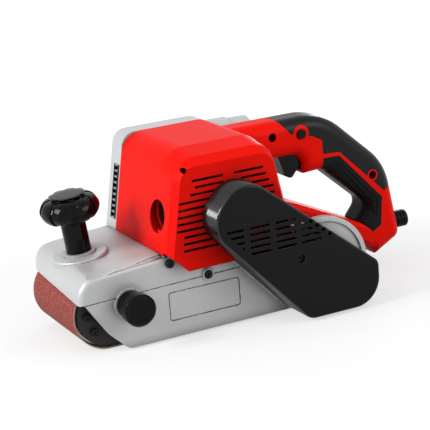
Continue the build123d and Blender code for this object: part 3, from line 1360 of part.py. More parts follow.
def brush_pockets():
    """Tubes in from the front and rear walls of the housing to the brush holders."""
    with BuildPart() as pockets:
        rod_x(BRUSH_Y, MOTOR_Z, BRUSH_HOLE + HOUSING_WALL, MOTOR_X + HOLDER_FAR, FRONT_FOOT_X)
        rod_x(BRUSH_Y, MOTOR_Z, BRUSH_HOLE + HOUSING_WALL, REAR_FOOT_X, MOTOR_X - HOLDER_FAR)
        add(motor_box(HOUSING_RIGHT_Y), mode=Mode.INTERSECT)
    return pockets.part


def slot_spans(row, z):
    """Spans in x of the air slots in one row: ahead of the belt cover's tip, and above its top side."""
    half = sqrt(max(SLOT_CLEAR**2 - (z - MOTOR_Z) ** 2, 0.0))
    over_cover = on_drive(0.0, COVER_TIP_ABOVE)
    cover_x = over_cover[0] + (z - over_cover[1]) * ALONG_X / ALONG_Z
    spans = [(max(MOTOR_X + half, SLOT_BRIDGE_X + SLOT_BRIDGE), SLOT_FRONT_X[row])]
    if row < len(SLOT_REAR_X):
        spans.append((SLOT_REAR_X[row], min(MOTOR_X - half, SLOT_BRIDGE_X - SLOT_BRIDGE, cover_x)))
    return spans


def housing_shell():
    """Both halves of the housing in one piece."""
    with BuildPart() as shell:
        add(motor_box(HOUSING_RIGHT_Y))
        add(grip())
        add(bridge())
        for outline in (UPPER_PAD, LOWER_PAD):
            add(pad_skin(outline), mode=Mode.SUBTRACT)
        add(motor_box(HOUSING_RIGHT_Y, HOUSING_WALL), mode=Mode.SUBTRACT)
        add(grip(HANDLE_WALL), mode=Mode.SUBTRACT)
        add(bridge(HANDLE_WALL), mode=Mode.SUBTRACT)
        # Ribs round the stator
        for y in (STATOR_RIGHT_Y + RIB, STATOR_LEFT_Y - RIB / 2):
            with BuildSketch(side(y)):
                add(box_outline(HOUSING_WALL / 2))
                with Locations(MOTOR_AXLE):
                    Circle(STATOR_RADIUS + PRESS_FIT, mode=Mode.SUBTRACT)
            extrude(amount=RIB / 2)
        # Left motor bearing
        rod_y(MOTOR_AXLE, MOTOR_LEFT_BEARING[1] + BEARING_WALL, LEFT_BEARING_Y, PANEL_Y)
        rod_y(MOTOR_AXLE, MOTOR_LEFT_BEARING[1], LEFT_BEARING_Y, LEFT_SEAT_Y, mode=Mode.SUBTRACT)
        rod_y(MOTOR_AXLE, MOTOR_LEFT_BEARING[1] - BEARING_LIP, LEFT_SEAT_Y, PANEL_Y, mode=Mode.SUBTRACT)
        # Stepped brush recesses
        add(brush_pockets())
        for way in (-1, 1):
            steps = (
                (BRUSH_CAP + SCREW_FIT, HOLDER_FAR),
                (BRUSH_STEP, BRUSH_DEPTH),
                (BRUSH_HOLE, BRUSH_DEPTH + BRUSH_STEP_DEPTH),
            )
            for radius, near in steps:
                low, high = sorted((MOTOR_X + way * near, MOTOR_X + way * (FRONT_FOOT_X - MOTOR_X)))
                rod_x(BRUSH_Y, MOTOR_Z, radius, low, high, mode=Mode.SUBTRACT)
        # Feet that the deck screws bite into
        for foot in HOUSING_FEET:
            rod_z(foot, SCREW_BOSS, DECK_Z, DECK_Z + BOSS_HEIGHT)
            rod_z(foot, SCREW_SHANK + SCREW_FIT, DECK_Z, DECK_Z + DECK_SCREW_LENGTH, mode=Mode.SUBTRACT)
        # Bosses for the screws that join the halves
        for place in HANDLE_SCREWS:
            rod_y(behind(*place), SCREW_BOSS, -HANDLE_BOSS_HALF, HANDLE_BOSS_HALF)
        rod_y(PANEL_SCREW, PANEL_BOSS, -HOUSING_SCREW_BITE - SCREW_SHANK, PANEL_SCREW_SEAT + SCREW_HEAD_DEPTH)
        for place, seat_y, scale in HOUSING_SCREWS:
            seat = facing((place[0], seat_y, place[1]), (0, 1, 0))
            room = screw_room(seat, seat_y + HOUSING_SCREW_BITE, PANEL_Y - seat_y, scale)
            add(room, mode=Mode.SUBTRACT)
        # Bosses for the end housing's screws
        for place in END_SCREWS:
            rod_y(place, SCREW_BOSS, HOUSING_RIGHT_Y, END_BOSS_Y)
            rod_y(place, SCREW_SHANK + SCREW_FIT, HOUSING_RIGHT_Y, END_BOSS_Y, mode=Mode.SUBTRACT)
        # Trigger slot, its pin, the lock button's hole and the cord gland's hole
        slot_low = behind(TRIGGER_SLOT_BACK[1], TRIGGER_SLOT_UP[0])
        slot_high = behind(TRIGGER_SLOT_BACK[0], TRIGGER_SLOT_UP[1])
        block(
            (slot_low[0], -TRIGGER_SLOT_HALF, slot_low[1]),
            (slot_high[0], TRIGGER_SLOT_HALF, slot_high[1]),
            mode=Mode.SUBTRACT,
        )
        for low, high in ((-CAVITY_HALF, -TRIGGER_SLOT_HALF), (TRIGGER_SLOT_HALF, CAVITY_HALF)):
            rod_y(behind(*TRIGGER_PIVOT), TRIGGER_BOSS, low, high)
        rod_y(behind(*TRIGGER_PIVOT), TRIGGER_PIN + PRESS_FIT, -CAVITY_HALF, CAVITY_HALF, mode=Mode.SUBTRACT)
        rod_y(behind(*LOCK_PLACE), LOCK_RADIUS + RUN_FIT, 0.0, HANDLE_HALF, mode=Mode.SUBTRACT)
        rod_x(
            0,
            GLAND_Z,
            GLAND_RADIUS + PRESS_FIT,
            REAR_FOOT_X - GLAND_OUT,
            REAR_FOOT_X - GLAND_IN,
            mode=Mode.SUBTRACT,
        )
        # Air slots in the left panel, and room for the post of the belt cover's screw
        with BuildSketch(side(PANEL_Y)):
            for row in range(len(SLOT_FRONT_X)):
                z = SLOT_TOP_Z - row * SLOT_PITCH
                for low, high in slot_spans(row, z):
                    with Locations(((low + high) / 2, z)):
                        Rectangle(high - low, SLOT_HEIGHT)
        extrude(amount=2 * HOUSING_WALL, mode=Mode.SUBTRACT)
        rod_y(COVER_SCREW, SCREW_BOSS + SLIDE_FIT, SKIRT_Y, PANEL_Y, mode=Mode.SUBTRACT)
    return shell.part


both_halves = housing_shell()

with BuildPart() as housing_left:
    add(both_halves)
    split(bisect_by=Plane.XZ, keep=Keep.BOTTOM)
housing_left.part.label = "housing_left"
export_step(housing_left.part, "parts/housing_left.step")

with BuildPart() as housing_right:
    add(both_halves)
    split(bisect_by=Plane.XZ, keep=Keep.TOP)
housing_right.part.label = "housing_right"
export_step(housing_right.part, "parts/housing_right.step")

# Rubber grip pads, let into both halves of the handle
with BuildPart() as grip_upper_left:
    add(pad_skin(UPPER_PAD))
    split(bisect_by=Plane.XZ, keep=Keep.BOTTOM)
grip_upper_left.part.label = "grip_upper_left"
export_step(grip_upper_left.part, "parts/grip_upper_left.step")

with BuildPart() as grip_upper_right:
    add(pad_skin(UPPER_PAD))
    split(bisect_by=Plane.XZ, keep=Keep.TOP)
grip_upper_right.part.label = "grip_upper_right"
export_step(grip_upper_right.part, "parts/grip_upper_right.step")

with BuildPart() as grip_lower_left:
    add(pad_skin(LOWER_PAD))
    add(pad_line(), mode=Mode.SUBTRACT)
    split(bisect_by=Plane.XZ, keep=Keep.BOTTOM)
grip_lower_left.part.label = "grip_lower_left"
export_step(grip_lower_left.part, "parts/grip_lower_left.step")

with BuildPart() as grip_lower_right:
    add(pad_skin(LOWER_PAD))
    add(pad_line(), mode=Mode.SUBTRACT)
    split(bisect_by=Plane.XZ, keep=Keep.TOP)
grip_lower_right.part.label = "grip_lower_right"
export_step(grip_lower_right.part, "parts/grip_lower_right.step")

with BuildPart() as housing_screws:
    for place, seat_y, scale in HOUSING_SCREWS:
        add(screw(facing((place[0], seat_y, place[1]), (0, 1, 0)), seat_y + HOUSING_SCREW_BITE, scale))
housing_screws.part.label = "housing_screws"
export_step(housing_screws.part, "parts/housing_screws.step")

with BuildPart() as deck_screws:
    for foot in HOUSING_FEET:
        seat = facing((*foot, TUNNEL_Z + SCREW_HEAD_DEPTH + SEAT_FIT), (0, 0, -1))
        add(screw(seat, DECK_SCREW_LENGTH))
deck_screws.part.label = "deck_screws"
export_step(deck_screws.part, "parts/deck_screws.step")

# Fan baffle: keeps the fan's air apart from the motor
with BuildPart() as fan_baffle:
    with BuildSketch(side(BAFFLE_Y + BAFFLE_DEPTH)):
        add(box_outline(HOUSING_WALL + SEAT_FIT))
        with Locations(MOTOR_AXLE):
            Circle(BAFFLE_HOLE, mode=Mode.SUBTRACT)
        with Locations(*END_SCREWS):
            Circle(SCREW_BOSS + SEAT_FIT, mode=Mode.SUBTRACT)
    extrude(amount=BAFFLE_DEPTH)
fan_baffle.part.label = "fan_baffle"
export_step(fan_baffle.part, "parts/fan_baffle.step")

# Motor end housing: a cast cap over the fan, with the right motor bearing, a grille and a dust outlet
GRILLE_MIDDLE = (sum(GRILLE_Y) / 2, sum(GRILLE_RISE) / 2)
GRILLE_SIZE = (GRILLE_Y[1] - GRILLE_Y[0], GRILLE_RISE[1] - GRILLE_RISE[0])
with BuildPart() as motor_end_housing:
    with BuildSketch(side(HOUSING_RIGHT_Y)):
        add(box_outline(front_round=END_FRONT_ROUND))
    extrude(amount=END_DEPTH)
    outer_face = motor_end_housing.faces().sort_by(Axis.Y)[0]
    fillet(outer_face.edges().filter_by(lambda e: e.center().Z > DECK_Z + END_ROUND), END_ROUND)
    with BuildSketch(side(HOUSING_RIGHT_Y)):
        add(box_outline(END_WALL, front_round=END_FRONT_ROUND))
    extrude(amount=END_DEPTH - END_WALL, mode=Mode.SUBTRACT)
    rod_y(MOTOR_AXLE, MOTOR_RIGHT_BEARING[1] + BEARING_WALL, END_Y, END_HUB_Y)
    rod_y(MOTOR_AXLE, MOTOR_RIGHT_BEARING[1], END_SEAT_Y, END_HUB_Y, mode=Mode.SUBTRACT)
    for place in END_SCREWS:
        rod_y(place, SCREW_BOSS, END_Y + END_ROUND, HOUSING_RIGHT_Y)
        seat = facing((place[0], END_Y + SCREW_HEAD_DEPTH, place[1]), (0, -1, 0))
        add(screw_room(seat, END_DEPTH, SCREW_HEAD_DEPTH), mode=Mode.SUBTRACT)
    with BuildSketch(side(END_Y)):
        with Locations(MOTOR_AXLE):
            with PolarLocations(END_VENT_RADIUS, END_VENTS):
                SlotOverall(*END_VENT_SIZE)
    extrude(amount=-END_WALL, mode=Mode.SUBTRACT)
    with BuildSketch(FRONT_WALL):
        with Locations(GRILLE_MIDDLE):
            Rectangle(*GRILLE_SIZE)
    extrude(amount=END_WALL, both=True, mode=Mode.SUBTRACT)
    block(
        (SPIGOT_X, END_Y + END_ROUND, SPIGOT_Z - SPIGOT_WINDOW_HALF),
        (MOTOR_X - FAN_RADIUS, HOUSING_RIGHT_Y - END_WALL / 2, SPIGOT_Z + SPIGOT_WINDOW_HALF),
        mode=Mode.SUBTRACT,
    )
motor_end_housing.part.label = "motor_end_housing"
export_step(motor_end_housing.part, "parts/motor_end_housing.step")

with BuildPart() as end_housing_screws:
    for place in END_SCREWS:
        seat = facing((place[0], END_Y + SCREW_HEAD_DEPTH, place[1]), (0, -1, 0))
        add(screw(seat, END_SCREW_LENGTH))
end_housing_screws.part.label = "end_housing_screws"
export_step(end_housing_screws.part, "parts/end_housing_screws.step")

GRILLE_STEP = (GRILLE_SIZE[1] - GRILLE_BAR) / GRILLE_GAPS
with BuildPart() as exhaust_grille:
    with BuildSketch(FRONT_WALL.offset(GRILLE_PROUD)):
        with Locations(GRILLE_MIDDLE):
            Rectangle(GRILLE_SIZE[0] - 2 * SEAT_FIT, GRILLE_SIZE[1] - 2 * SEAT_FIT)
            with GridLocations(0, GRILLE_STEP, 1, GRILLE_GAPS):
                Rectangle(
                    GRILLE_SIZE[0] - 2 * GRILLE_BAR,
                    GRILLE_STEP - GRILLE_BAR,
                    mode=Mode.SUBTRACT,
                )
    extrude(amount=-END_WALL)
exhaust_grille.part.label = "exhaust_grille"
export_step(exhaust_grille.part, "parts/exhaust_grille.step")

# Dust spigot: a tube with a collar, screwed to the outlet at the rear of the end housing
SPIGOT_BORE = SPIGOT_RADIUS - SPIGOT_WALL
with BuildPart() as dust_spigot:
    rod_x(SPIGOT_Y, SPIGOT_Z, SPIGOT_RADIUS, SPIGOT_X, MOTOR_X - FAN_RADIUS)
    rod_x(SPIGOT_Y, SPIGOT_Z, SPIGOT_RADIUS + SPIGOT_COLLAR, SPIGOT_COLLAR_X, MOTOR_X - FAN_RADIUS)
    rod_x(SPIGOT_Y, SPIGOT_Z, SPIGOT_BORE, SPIGOT_X, SPIGOT_X + SPIGOT_DEPTH, mode=Mode.SUBTRACT)
    rod_x(SPIGOT_Y, SPIGOT_Z, SPIGOT_THROAT, SPIGOT_X, MOTOR_X - FAN_RADIUS, mode=Mode.SUBTRACT)
    with BuildSketch(side(0.0)):
        add(box_outline())
    extrude(amount=2 * SPIGOT_RADIUS - SPIGOT_Y, mode=Mode.SUBTRACT)
dust_spigot.part.label = "dust_spigot"
export_step(dust_spigot.part, "parts/dust_spigot.step")

# Belt cover: a moulded shell over the two pulleys, fitted round the motor housing
VENT_ABOVE_SLOPE = (COVER_TIP_ABOVE - COVER_ROOT_ABOVE) / (PULLEY_SPAN + COVER_TIP)
COVER_SCREW_SEAT = COVER_Y - COVER_SCREW_SUNK
COVER_SCREW_LENGTH = COVER_SCREW_SEAT - SEAT_Y
with BuildPart() as belt_cover:
    with BuildSketch(side(COVER_Y)):
        add(cover_outline())
    extrude(amount=COVER_Y - SEAT_Y)
    fillet(belt_cover.faces().sort_by(Axis.Y)[-1].edges(), COVER_ROUND)
    with BuildSketch(side(COVER_IN_Y)):
        add(cover_outline(-COVER_WALL))
    extrude(amount=COVER_IN_Y - SEAT_Y, mode=Mode.SUBTRACT)
    add(motor_box(0.0, -SEAT_FIT, DECK_Z - SEAT_FIT), mode=Mode.SUBTRACT)
    rod_y(COVER_SCREW, SCREW_BOSS, POST_Y, COVER_IN_Y)
    seat = facing((COVER_SCREW[0], COVER_SCREW_SEAT, COVER_SCREW[1]), (0, 1, 0))
    add(screw_room(seat, COVER_SCREW_LENGTH, COVER_SCREW_SUNK), mode=Mode.SUBTRACT)
    with BuildSketch(side(COVER_Y)):
        with Locations(COVER_SLOT_MIDDLE):
            with GridLocations(*COVER_SLOT_PITCH, COVER_SLOT_COLUMNS, COVER_SLOT_ROWS):
                Rectangle(*COVER_SLOT_SIZE)
        add(cover_outline(-COVER_SLOT_MARGIN), mode=Mode.INTERSECT)
    extrude(amount=COVER_WALL, mode=Mode.SUBTRACT)
    with BuildSketch(side(COVER_Y)):
        for vent in range(COVER_VENTS):
            along = COVER_VENT_FIRST + vent * COVER_VENT_PITCH
            with Locations(Location(on_drive(along, COVER_ROOT_ABOVE + along * VENT_ABOVE_SLOPE), DRIVE_ANGLE)):
                Rectangle(*COVER_VENT_SIZE)
    extrude(amount=COVER_VENT_DEPTH, mode=Mode.SUBTRACT)
belt_cover.part.label = "belt_cover"
export_step(belt_cover.part, "parts/belt_cover.step")

# Screws that show on the left: one in the belt cover and two in the skirt
with BuildPart() as frame_screws:
    add(screw(facing((COVER_SCREW[0], COVER_SCREW_SEAT, COVER_SCREW[1]), (0, 1, 0)), COVER_SCREW_LENGTH))
    add(screw(facing((SKIRT_SCREW[0], SKIRT_Y, SKIRT_SCREW[1]), (0, 1, 0)), SKIRT_WALL))
    add(screw(facing((TOE_SCREW[0], SKIRT_Y, TOE_SCREW[1]), (0, 1, 0)), SKIRT_WALL))
frame_screws.part.label = "frame_screws"
export_step(frame_screws.part, "parts/frame_screws.step")

# Trigger: turns on a pin across the handle and presses the switch
with BuildPart() as trigger:
    with BuildSketch(side(TRIGGER_WIDTH / 2)):
        with BuildLine():
            Polyline(*[behind(*point) for point in TRIGGER_OUTLINE], close=True)
        make_face()
    extrude(amount=TRIGGER_WIDTH)
    rims = trigger.edges().filter_by(lambda e: abs(abs(e.center().Y) - TRIGGER_WIDTH / 2) < 1e-4)
    fillet(rims.filter_by(lambda e: e.center().Z < behind(0.0, TRIGGER_SLOT_UP[0])[1]), TRIGGER_ROUND)
    rod_y(
        behind(*TRIGGER_PIVOT),
        TRIGGER_PIN + RUN_FIT,
        -TRIGGER_WIDTH / 2,
        TRIGGER_WIDTH / 2,
        mode=Mode.SUBTRACT,
    )
trigger.part.label = "trigger"
export_step(trigger.part, "parts/trigger.step")

with BuildPart() as trigger_pin:
    rod_y(behind(*TRIGGER_PIVOT), TRIGGER_PIN, -CAVITY_HALF, CAVITY_HALF)
trigger_pin.part.label = "trigger_pin"
export_step(trigger_pin.part, "parts/trigger_pin.step")

with BuildPart() as switch_body:
    switch_low = behind(SWITCH_BACK[1], SWITCH_UP[0])
    switch_high = behind(SWITCH_BACK[0], SWITCH_UP[1])
    block((switch_low[0], -SWITCH_HALF, switch_low[1]), (switch_high[0], SWITCH_HALF, switch_high[1]))
switch_body.part.label = "switch_body"
export_step(switch_body.part, "parts/switch_body.step")

# Lock button: pushed in from the left while the trigger is held
LOCK_IN_Y = CAVITY_HALF - LOCK_FLANGE_DEPTH - SLIDE_FIT
with BuildPart() as lock_button:
    rod_y(behind(*LOCK_PLACE), LOCK_RADIUS, LOCK_IN_Y, HANDLE_HALF + LOCK_PROUD)
    rod_y(behind(*LOCK_PLACE), LOCK_FLANGE, LOCK_IN_Y - LOCK_FLANGE_DEPTH, LOCK_IN_Y)
lock_button.part.label = "lock_button"
export_step(lock_button.part, "parts/lock_button.step")

# Cord gland: a ringed tube through the handle's rear wall, held by a flange inside
GLAND_IN_X = REAR_FOOT_X - GLAND_IN
GLAND_OUT_X = REAR_FOOT_X - GLAND_OUT
with BuildPart() as cord_gland:
    rod_x(0, GLAND_Z, GLAND_RADIUS, GLAND_OUT_X, GLAND_IN_X)
    rod_x(0, GLAND_Z, GLAND_FLANGE, GLAND_IN_X, GLAND_IN_X + GLAND_FLANGE_DEPTH)
    for ring in range(GLAND_RINGS):
        ring_x = GLAND_OUT_X + 3 * (ring + 1) * GLAND_RING
        rod_x(0, GLAND_Z, GLAND_RADIUS, ring_x, ring_x + GLAND_RING, mode=Mode.SUBTRACT)
        rod_x(0, GLAND_Z, GLAND_RADIUS - GLAND_RING, ring_x, ring_x + GLAND_RING)
    rod_x(0, GLAND_Z, GLAND_BORE, GLAND_OUT_X, GLAND_IN_X + GLAND_FLANGE_DEPTH, mode=Mode.SUBTRACT)
cord_gland.part.label = "cord_gland"
export_step(cord_gland.part, "parts/cord_gland.step")

with BuildPart() as cord_clamp:
    block(
        (REAR_FOOT_X - CLAMP_BACK[1], SEAT_FIT - CAVITY_HALF, GLAND_Z + GLAND_BORE),
        (REAR_FOOT_X - CLAMP_BACK[0], CAVITY_HALF - SEAT_FIT, GLAND_Z + GLAND_BORE + CLAMP_DEPTH),
    )
cord_clamp.part.label = "cord_clamp"
export_step(cord_clamp.part, "parts/cord_clamp.step")

# Front knob: a fluted mushroom of moulded plastic, screwed on a stud in the boss
STUD_TOP = KNOB_STEP_RISE - KNOB_STUD_DEPTH + KNOB_STUD_LENGTH


def knob_turned(inset):
    """Front knob without its flutes, with its cap drawn in by inset."""
    share = 1 - inset / KNOB_RADIUS
    top = KNOB_RADIUS_RISE + share * (KNOB_HEIGHT - KNOB_RADIUS_RISE)
    cap = []
    for radius, rise in KNOB_CAP:
        cap.append((share * radius, KNOB_RADIUS_RISE + share * (rise - KNOB_RADIUS_RISE)))
    stem_top = (KNOB_STEM, KNOB_STEM_RISE)
    with BuildPart() as knob:
        with BuildSketch(KNOB_SECTION):
            with BuildLine():
                Polyline((0, top), (0, KNOB_STEP_RISE), (KNOB_STEM, KNOB_STEP_RISE), stem_top)
                Spline(stem_top, *cap, (0, top), tangents=((0, 1), (-1, 0)))
            make_face()
        revolve(axis=Axis(KNOB_BASE.origin, KNOB_BASE.z_dir))
    return knob.part


def knob_flutes():
    """Hollows round the cap, each from its crown to its underside."""
    reach = KNOB_RADIUS + KNOB_FLUTE_WIDTH
    with BuildPart() as flutes:
        with BuildSketch(KNOB_BASE.offset(KNOB_STEM_RISE)):
            with PolarLocations((KNOB_FLUTE_START + reach) / 2, KNOB_FLUTES, start_angle=KNOB_FLUTE_TURN):
                SlotOverall(reach - KNOB_FLUTE_START, KNOB_FLUTE_WIDTH)
        extrude(amount=KNOB_HEIGHT - KNOB_STEM_RISE)
        add(knob_turned(KNOB_FLUTE_DEPTH), mode=Mode.SUBTRACT)
    return flutes.part


with BuildPart() as front_knob:
    add(knob_turned(0.0))
    add(knob_flutes(), mode=Mode.SUBTRACT)
    with BuildSketch(KNOB_BASE.offset(KNOB_STEP_RISE)):
        Circle(KNOB_STUD + PRESS_FIT)
    extrude(amount=STUD_TOP - KNOB_STEP_RISE, mode=Mode.SUBTRACT)
front_knob.part.label = "front_knob"
export_step(front_knob.part, "parts/front_knob.step")

with BuildPart() as knob_stud:
    with BuildSketch(KNOB_BASE.offset(STUD_TOP)):
        Circle(KNOB_STUD)
    extrude(amount=-KNOB_STUD_LENGTH)
knob_stud.part.label = "knob_stud"
export_step(knob_stud.part, "parts/knob_stud.step")

# Tracking knob: a ringed neck and a round cap on the end of the tracking screw
NECK_Y = TRACK_PAD_Y + SLIDE_FIT
CAP_Y = NECK_Y + TRACK_NECK_LENGTH
KNOB_FACE_Y = CAP_Y + TRACK_KNOB_LENGTH
TRACK_SCREW_END_Y = CAP_Y + TRACK_KNOB_LENGTH / 2
RING_STEP = TRACK_NECK_LENGTH / (2 * TRACK_RINGS + 1)
with BuildPart() as tracking_knob:
    add(
        turned(
            TRACK_AXLE,
            [
                (NECK_Y, TRACK_SCREW + PRESS_FIT),
                (NECK_Y, TRACK_NECK),
                (CAP_Y, TRACK_NECK),
                (CAP_Y, TRACK_KNOB_RADIUS - TRACK_KNOB_EDGE),
                (CAP_Y + TRACK_KNOB_EDGE, TRACK_KNOB_RADIUS),
                (KNOB_FACE_Y - TRACK_KNOB_EDGE, TRACK_KNOB_RADIUS),
                (KNOB_FACE_Y, TRACK_KNOB_RADIUS - TRACK_KNOB_EDGE),
                (KNOB_FACE_Y, 0),
                (TRACK_SCREW_END_Y, 0),
                (TRACK_SCREW_END_Y, TRACK_SCREW + PRESS_FIT),
            ],
        )
    )
    for ring in range(TRACK_RINGS):
        ring_y = NECK_Y + (2 * ring + 1) * RING_STEP
        with BuildSketch(side(ring_y + RING_STEP)):
            with Locations(TRACK_AXLE):
                Circle(TRACK_KNOB_RADIUS)
                Circle(TRACK_NECK - TRACK_RING, mode=Mode.SUBTRACT)
        extrude(amount=RING_STEP, mode=Mode.SUBTRACT)
tracking_knob.part.label = "tracking_knob"
export_step(tracking_knob.part, "parts/tracking_knob.step")

with BuildPart() as tracking_screw:
    rod_y(TRACK_AXLE, TRACK_SCREW, FORK_OUT_Y + TRACK_TIP_GAP, TRACK_SCREW_END_Y)
tracking_screw.part.label = "tracking_screw"
export_step(tracking_screw.part, "parts/tracking_screw.step")

# Tracking fork: carries the front roller's axle and swings on the carriage's upright stud
EYE_FLOOR = HEAD_HALF_HEIGHT + SLIDE_FIT
with BuildPart() as tracking_yoke:
    block(
        (FORK_WEB_X, -FORK_OUT_Y, ROLLER_Z - FORK_HALF_HEIGHT),
        (FORK_WEB_X + FORK_ARM, FORK_OUT_Y, ROLLER_Z + FORK_HALF_HEIGHT),
    )
    for low, high in ((-FORK_OUT_Y, -FORK_IN_Y), (FORK_IN_Y, FORK_OUT_Y)):
        block(
            (FORK_WEB_X, low, ROLLER_Z - FORK_HALF_HEIGHT),
            (FRONT_X, high, ROLLER_Z + FORK_HALF_HEIGHT),
        )
        rod_y(FRONT_AXLE, FORK_RADIUS, low, high)
    rod_y(FRONT_AXLE, FRONT_BEARING[0] + PRESS_FIT, -FORK_OUT_Y, FORK_OUT_Y, mode=Mode.SUBTRACT)
    for low, high in ((-FORK_HALF_HEIGHT, -EYE_FLOOR), (EYE_FLOOR, FORK_HALF_HEIGHT)):
        block((FORK_PIVOT_X, -FORK_EYE, ROLLER_Z + low), (FORK_WEB_X, FORK_EYE, ROLLER_Z + high))
        rod_z((FORK_PIVOT_X, 0), FORK_EYE, ROLLER_Z + low, ROLLER_Z + high)
        rod_z(
            (FORK_PIVOT_X, 0),
            STUD_RADIUS + RUN_FIT,
            ROLLER_Z + low,
            ROLLER_Z + high,
            mode=Mode.SUBTRACT,
        )
    for angle in FORK_SCREW_ANGLES:
        place = (
            FRONT_X + FORK_SCREW_RADIUS * cos(radians(angle)),
            ROLLER_Z + FORK_SCREW_RADIUS * sin(radians(angle)),
        )
        rod_y(place, SCREW_SHANK + SCREW_FIT, FORK_IN_Y, FORK_OUT_Y, mode=Mode.SUBTRACT)
tracking_yoke.part.label = "tracking_yoke"
export_step(tracking_yoke.part, "parts/tracking_yoke.step")

with BuildPart() as yoke_screws:
    for angle in FORK_SCREW_ANGLES:
        point = (
            FRONT_X + FORK_SCREW_RADIUS * cos(radians(angle)),
            FORK_OUT_Y,
            ROLLER_Z + FORK_SCREW_RADIUS * sin(radians(angle)),
        )
        add(screw(facing(point, (0, 1, 0)), FORK_SCREW_LENGTH))
yoke_screws.part.label = "yoke_screws"
export_step(yoke_screws.part, "parts/yoke_screws.step")

# Front roller: a crowned idler on two bearings, on an axle fixed in the fork
with BuildPart() as front_axle:
    rod_y(FRONT_AXLE, FRONT_BEARING[0], -FORK_OUT_Y, FORK_OUT_Y)
front_axle.part.label = "front_axle"
export_step(front_axle.part, "parts/front_axle.step")

CROWN_ENDS = ROLLER_RADIUS - ROLLER_CROWN
CROWN_QUARTER = ROLLER_RADIUS - ROLLER_CROWN / 4
FRONT_SEAT = FRONT_HALF - FRONT_BEARING[2]
with BuildPart() as front_roller:
    add(
        turned(
            FRONT_AXLE,
            [
                (-FRONT_HALF, FRONT_BEARING[1]),
                (-FRONT_HALF, CROWN_ENDS),
                (-FRONT_HALF / 2, CROWN_QUARTER),
                (0, ROLLER_RADIUS),
                (FRONT_HALF / 2, CROWN_QUARTER),
                (FRONT_HALF, CROWN_ENDS),
                (FRONT_HALF, FRONT_BEARING[1]),
                (FRONT_SEAT, FRONT_BEARING[1]),
                (FRONT_SEAT, FRONT_BEARING[1] - BEARING_LIP),
                (-FRONT_SEAT, FRONT_BEARING[1] - BEARING_LIP),
                (-FRONT_SEAT, FRONT_BEARING[1]),
            ],
        )
    )
front_roller.part.label = "front_roller"
export_step(front_roller.part, "parts/front_roller.step")

with BuildPart() as front_bearings:
    add(bearing(FRONT_AXLE, FRONT_SEAT, FRONT_BEARING))
    add(bearing(FRONT_AXLE, -FRONT_HALF, FRONT_BEARING))
front_bearings.part.label = "front_bearings"
export_step(front_bearings.part, "parts/front_bearings.step")

# Tension carriage: a head for the fork's stud, a tongue through the beam's front wall, a follower that the
# lever's cam pushes back, and a rod that guides the tension spring
SPRING_FRONT_X = FOLLOWER_X - FOLLOWER_DEPTH
with BuildPart() as tension_carriage:
    block(
        (HEAD_FRONT_X - HEAD_LENGTH, -HEAD_HALF_WIDTH, ROLLER_Z - HEAD_HALF_HEIGHT),
        (HEAD_FRONT_X, HEAD_HALF_WIDTH, ROLLER_Z + HEAD_HALF_HEIGHT),
    )
    block(
        (FOLLOWER_X, -TONGUE_WIDTH / 2, ROLLER_Z - TONGUE_HEIGHT / 2),
        (HEAD_FRONT_X - HEAD_LENGTH, TONGUE_WIDTH / 2, ROLLER_Z + TONGUE_HEIGHT / 2),
    )
    block(
        (SPRING_FRONT_X, FOLLOWER_Y[0], ROLLER_Z - FOLLOWER_HALF_HEIGHT),
        (FOLLOWER_X, FOLLOWER_Y[1], ROLLER_Z + FOLLOWER_HALF_HEIGHT),
    )
    rod_x(0, ROLLER_Z, GUIDE_RADIUS, SPRING_FRONT_X - GUIDE_LENGTH, SPRING_FRONT_X)
    rod_z(
        (FORK_PIVOT_X, 0),
        STUD_RADIUS + PRESS_FIT,
        ROLLER_Z - HEAD_HALF_HEIGHT,
        ROLLER_Z + HEAD_HALF_HEIGHT,
        mode=Mode.SUBTRACT,
    )
tension_carriage.part.label = "tension_carriage"
export_step(tension_carriage.part, "parts/tension_carriage.step")

with BuildPart() as pivot_stud:
    rod_z((FORK_PIVOT_X, 0), STUD_RADIUS, ROLLER_Z - FORK_HALF_HEIGHT, ROLLER_Z + FORK_HALF_HEIGHT)
pivot_stud.part.label = "pivot_stud"
export_step(pivot_stud.part, "parts/pivot_stud.step")

with BuildPart() as tension_spring:
    rod_x(0, ROLLER_Z, SPRING_RADIUS, RIB_X, SPRING_FRONT_X)
    rod_x(0, ROLLER_Z, SPRING_RADIUS - SPRING_WIRE, RIB_X, SPRING_FRONT_X, mode=Mode.SUBTRACT)
tension_spring.part.label = "tension_spring"
export_step(tension_spring.part, "parts/tension_spring.step")

# Tension lever: lies flush in the beam's open end and swings out to the right to slacken the belt
LEVER_LOW_Z = ROLLER_Z - LEVER_HALF_HEIGHT
LEVER_HIGH_Z = ROLLER_Z + LEVER_HALF_HEIGHT
with BuildPart() as tension_lever:
    rod_z((LEVER_X, LEVER_Y), LEVER_HUB, LEVER_LOW_Z, LEVER_HIGH_Z)
    block(
        (LEVER_X - LEVER_LENGTH, BEAM_RIGHT_Y, LEVER_LOW_Z),
        (LEVER_X, BEAM_RIGHT_Y + LEVER_ARM, LEVER_HIGH_Z),
    )
    block(
        (LEVER_X - LEVER_LOBE, LEVER_Y, LEVER_LOW_Z),
        (LEVER_X + LEVER_LOBE, LEVER_Y + LEVER_CAM, LEVER_HIGH_Z),
    )
    rod_z((LEVER_X, LEVER_Y + LEVER_CAM), LEVER_LOBE, LEVER_LOW_Z, LEVER_HIGH_Z)
    rod_z((LEVER_X, LEVER_Y), LEVER_PIN + RUN_FIT, LEVER_LOW_Z, LEVER_HIGH_Z, mode=Mode.SUBTRACT)
tension_lever.part.label = "tension_lever"
export_step(tension_lever.part, "parts/tension_lever.step")

with BuildPart() as lever_pin:
    rod_z((LEVER_X, LEVER_Y), LEVER_PIN, BEAM_LOW_Z, BEAM_HIGH_Z)
lever_pin.part.label = "lever_pin"
export_step(lever_pin.part, "parts/lever_pin.step")
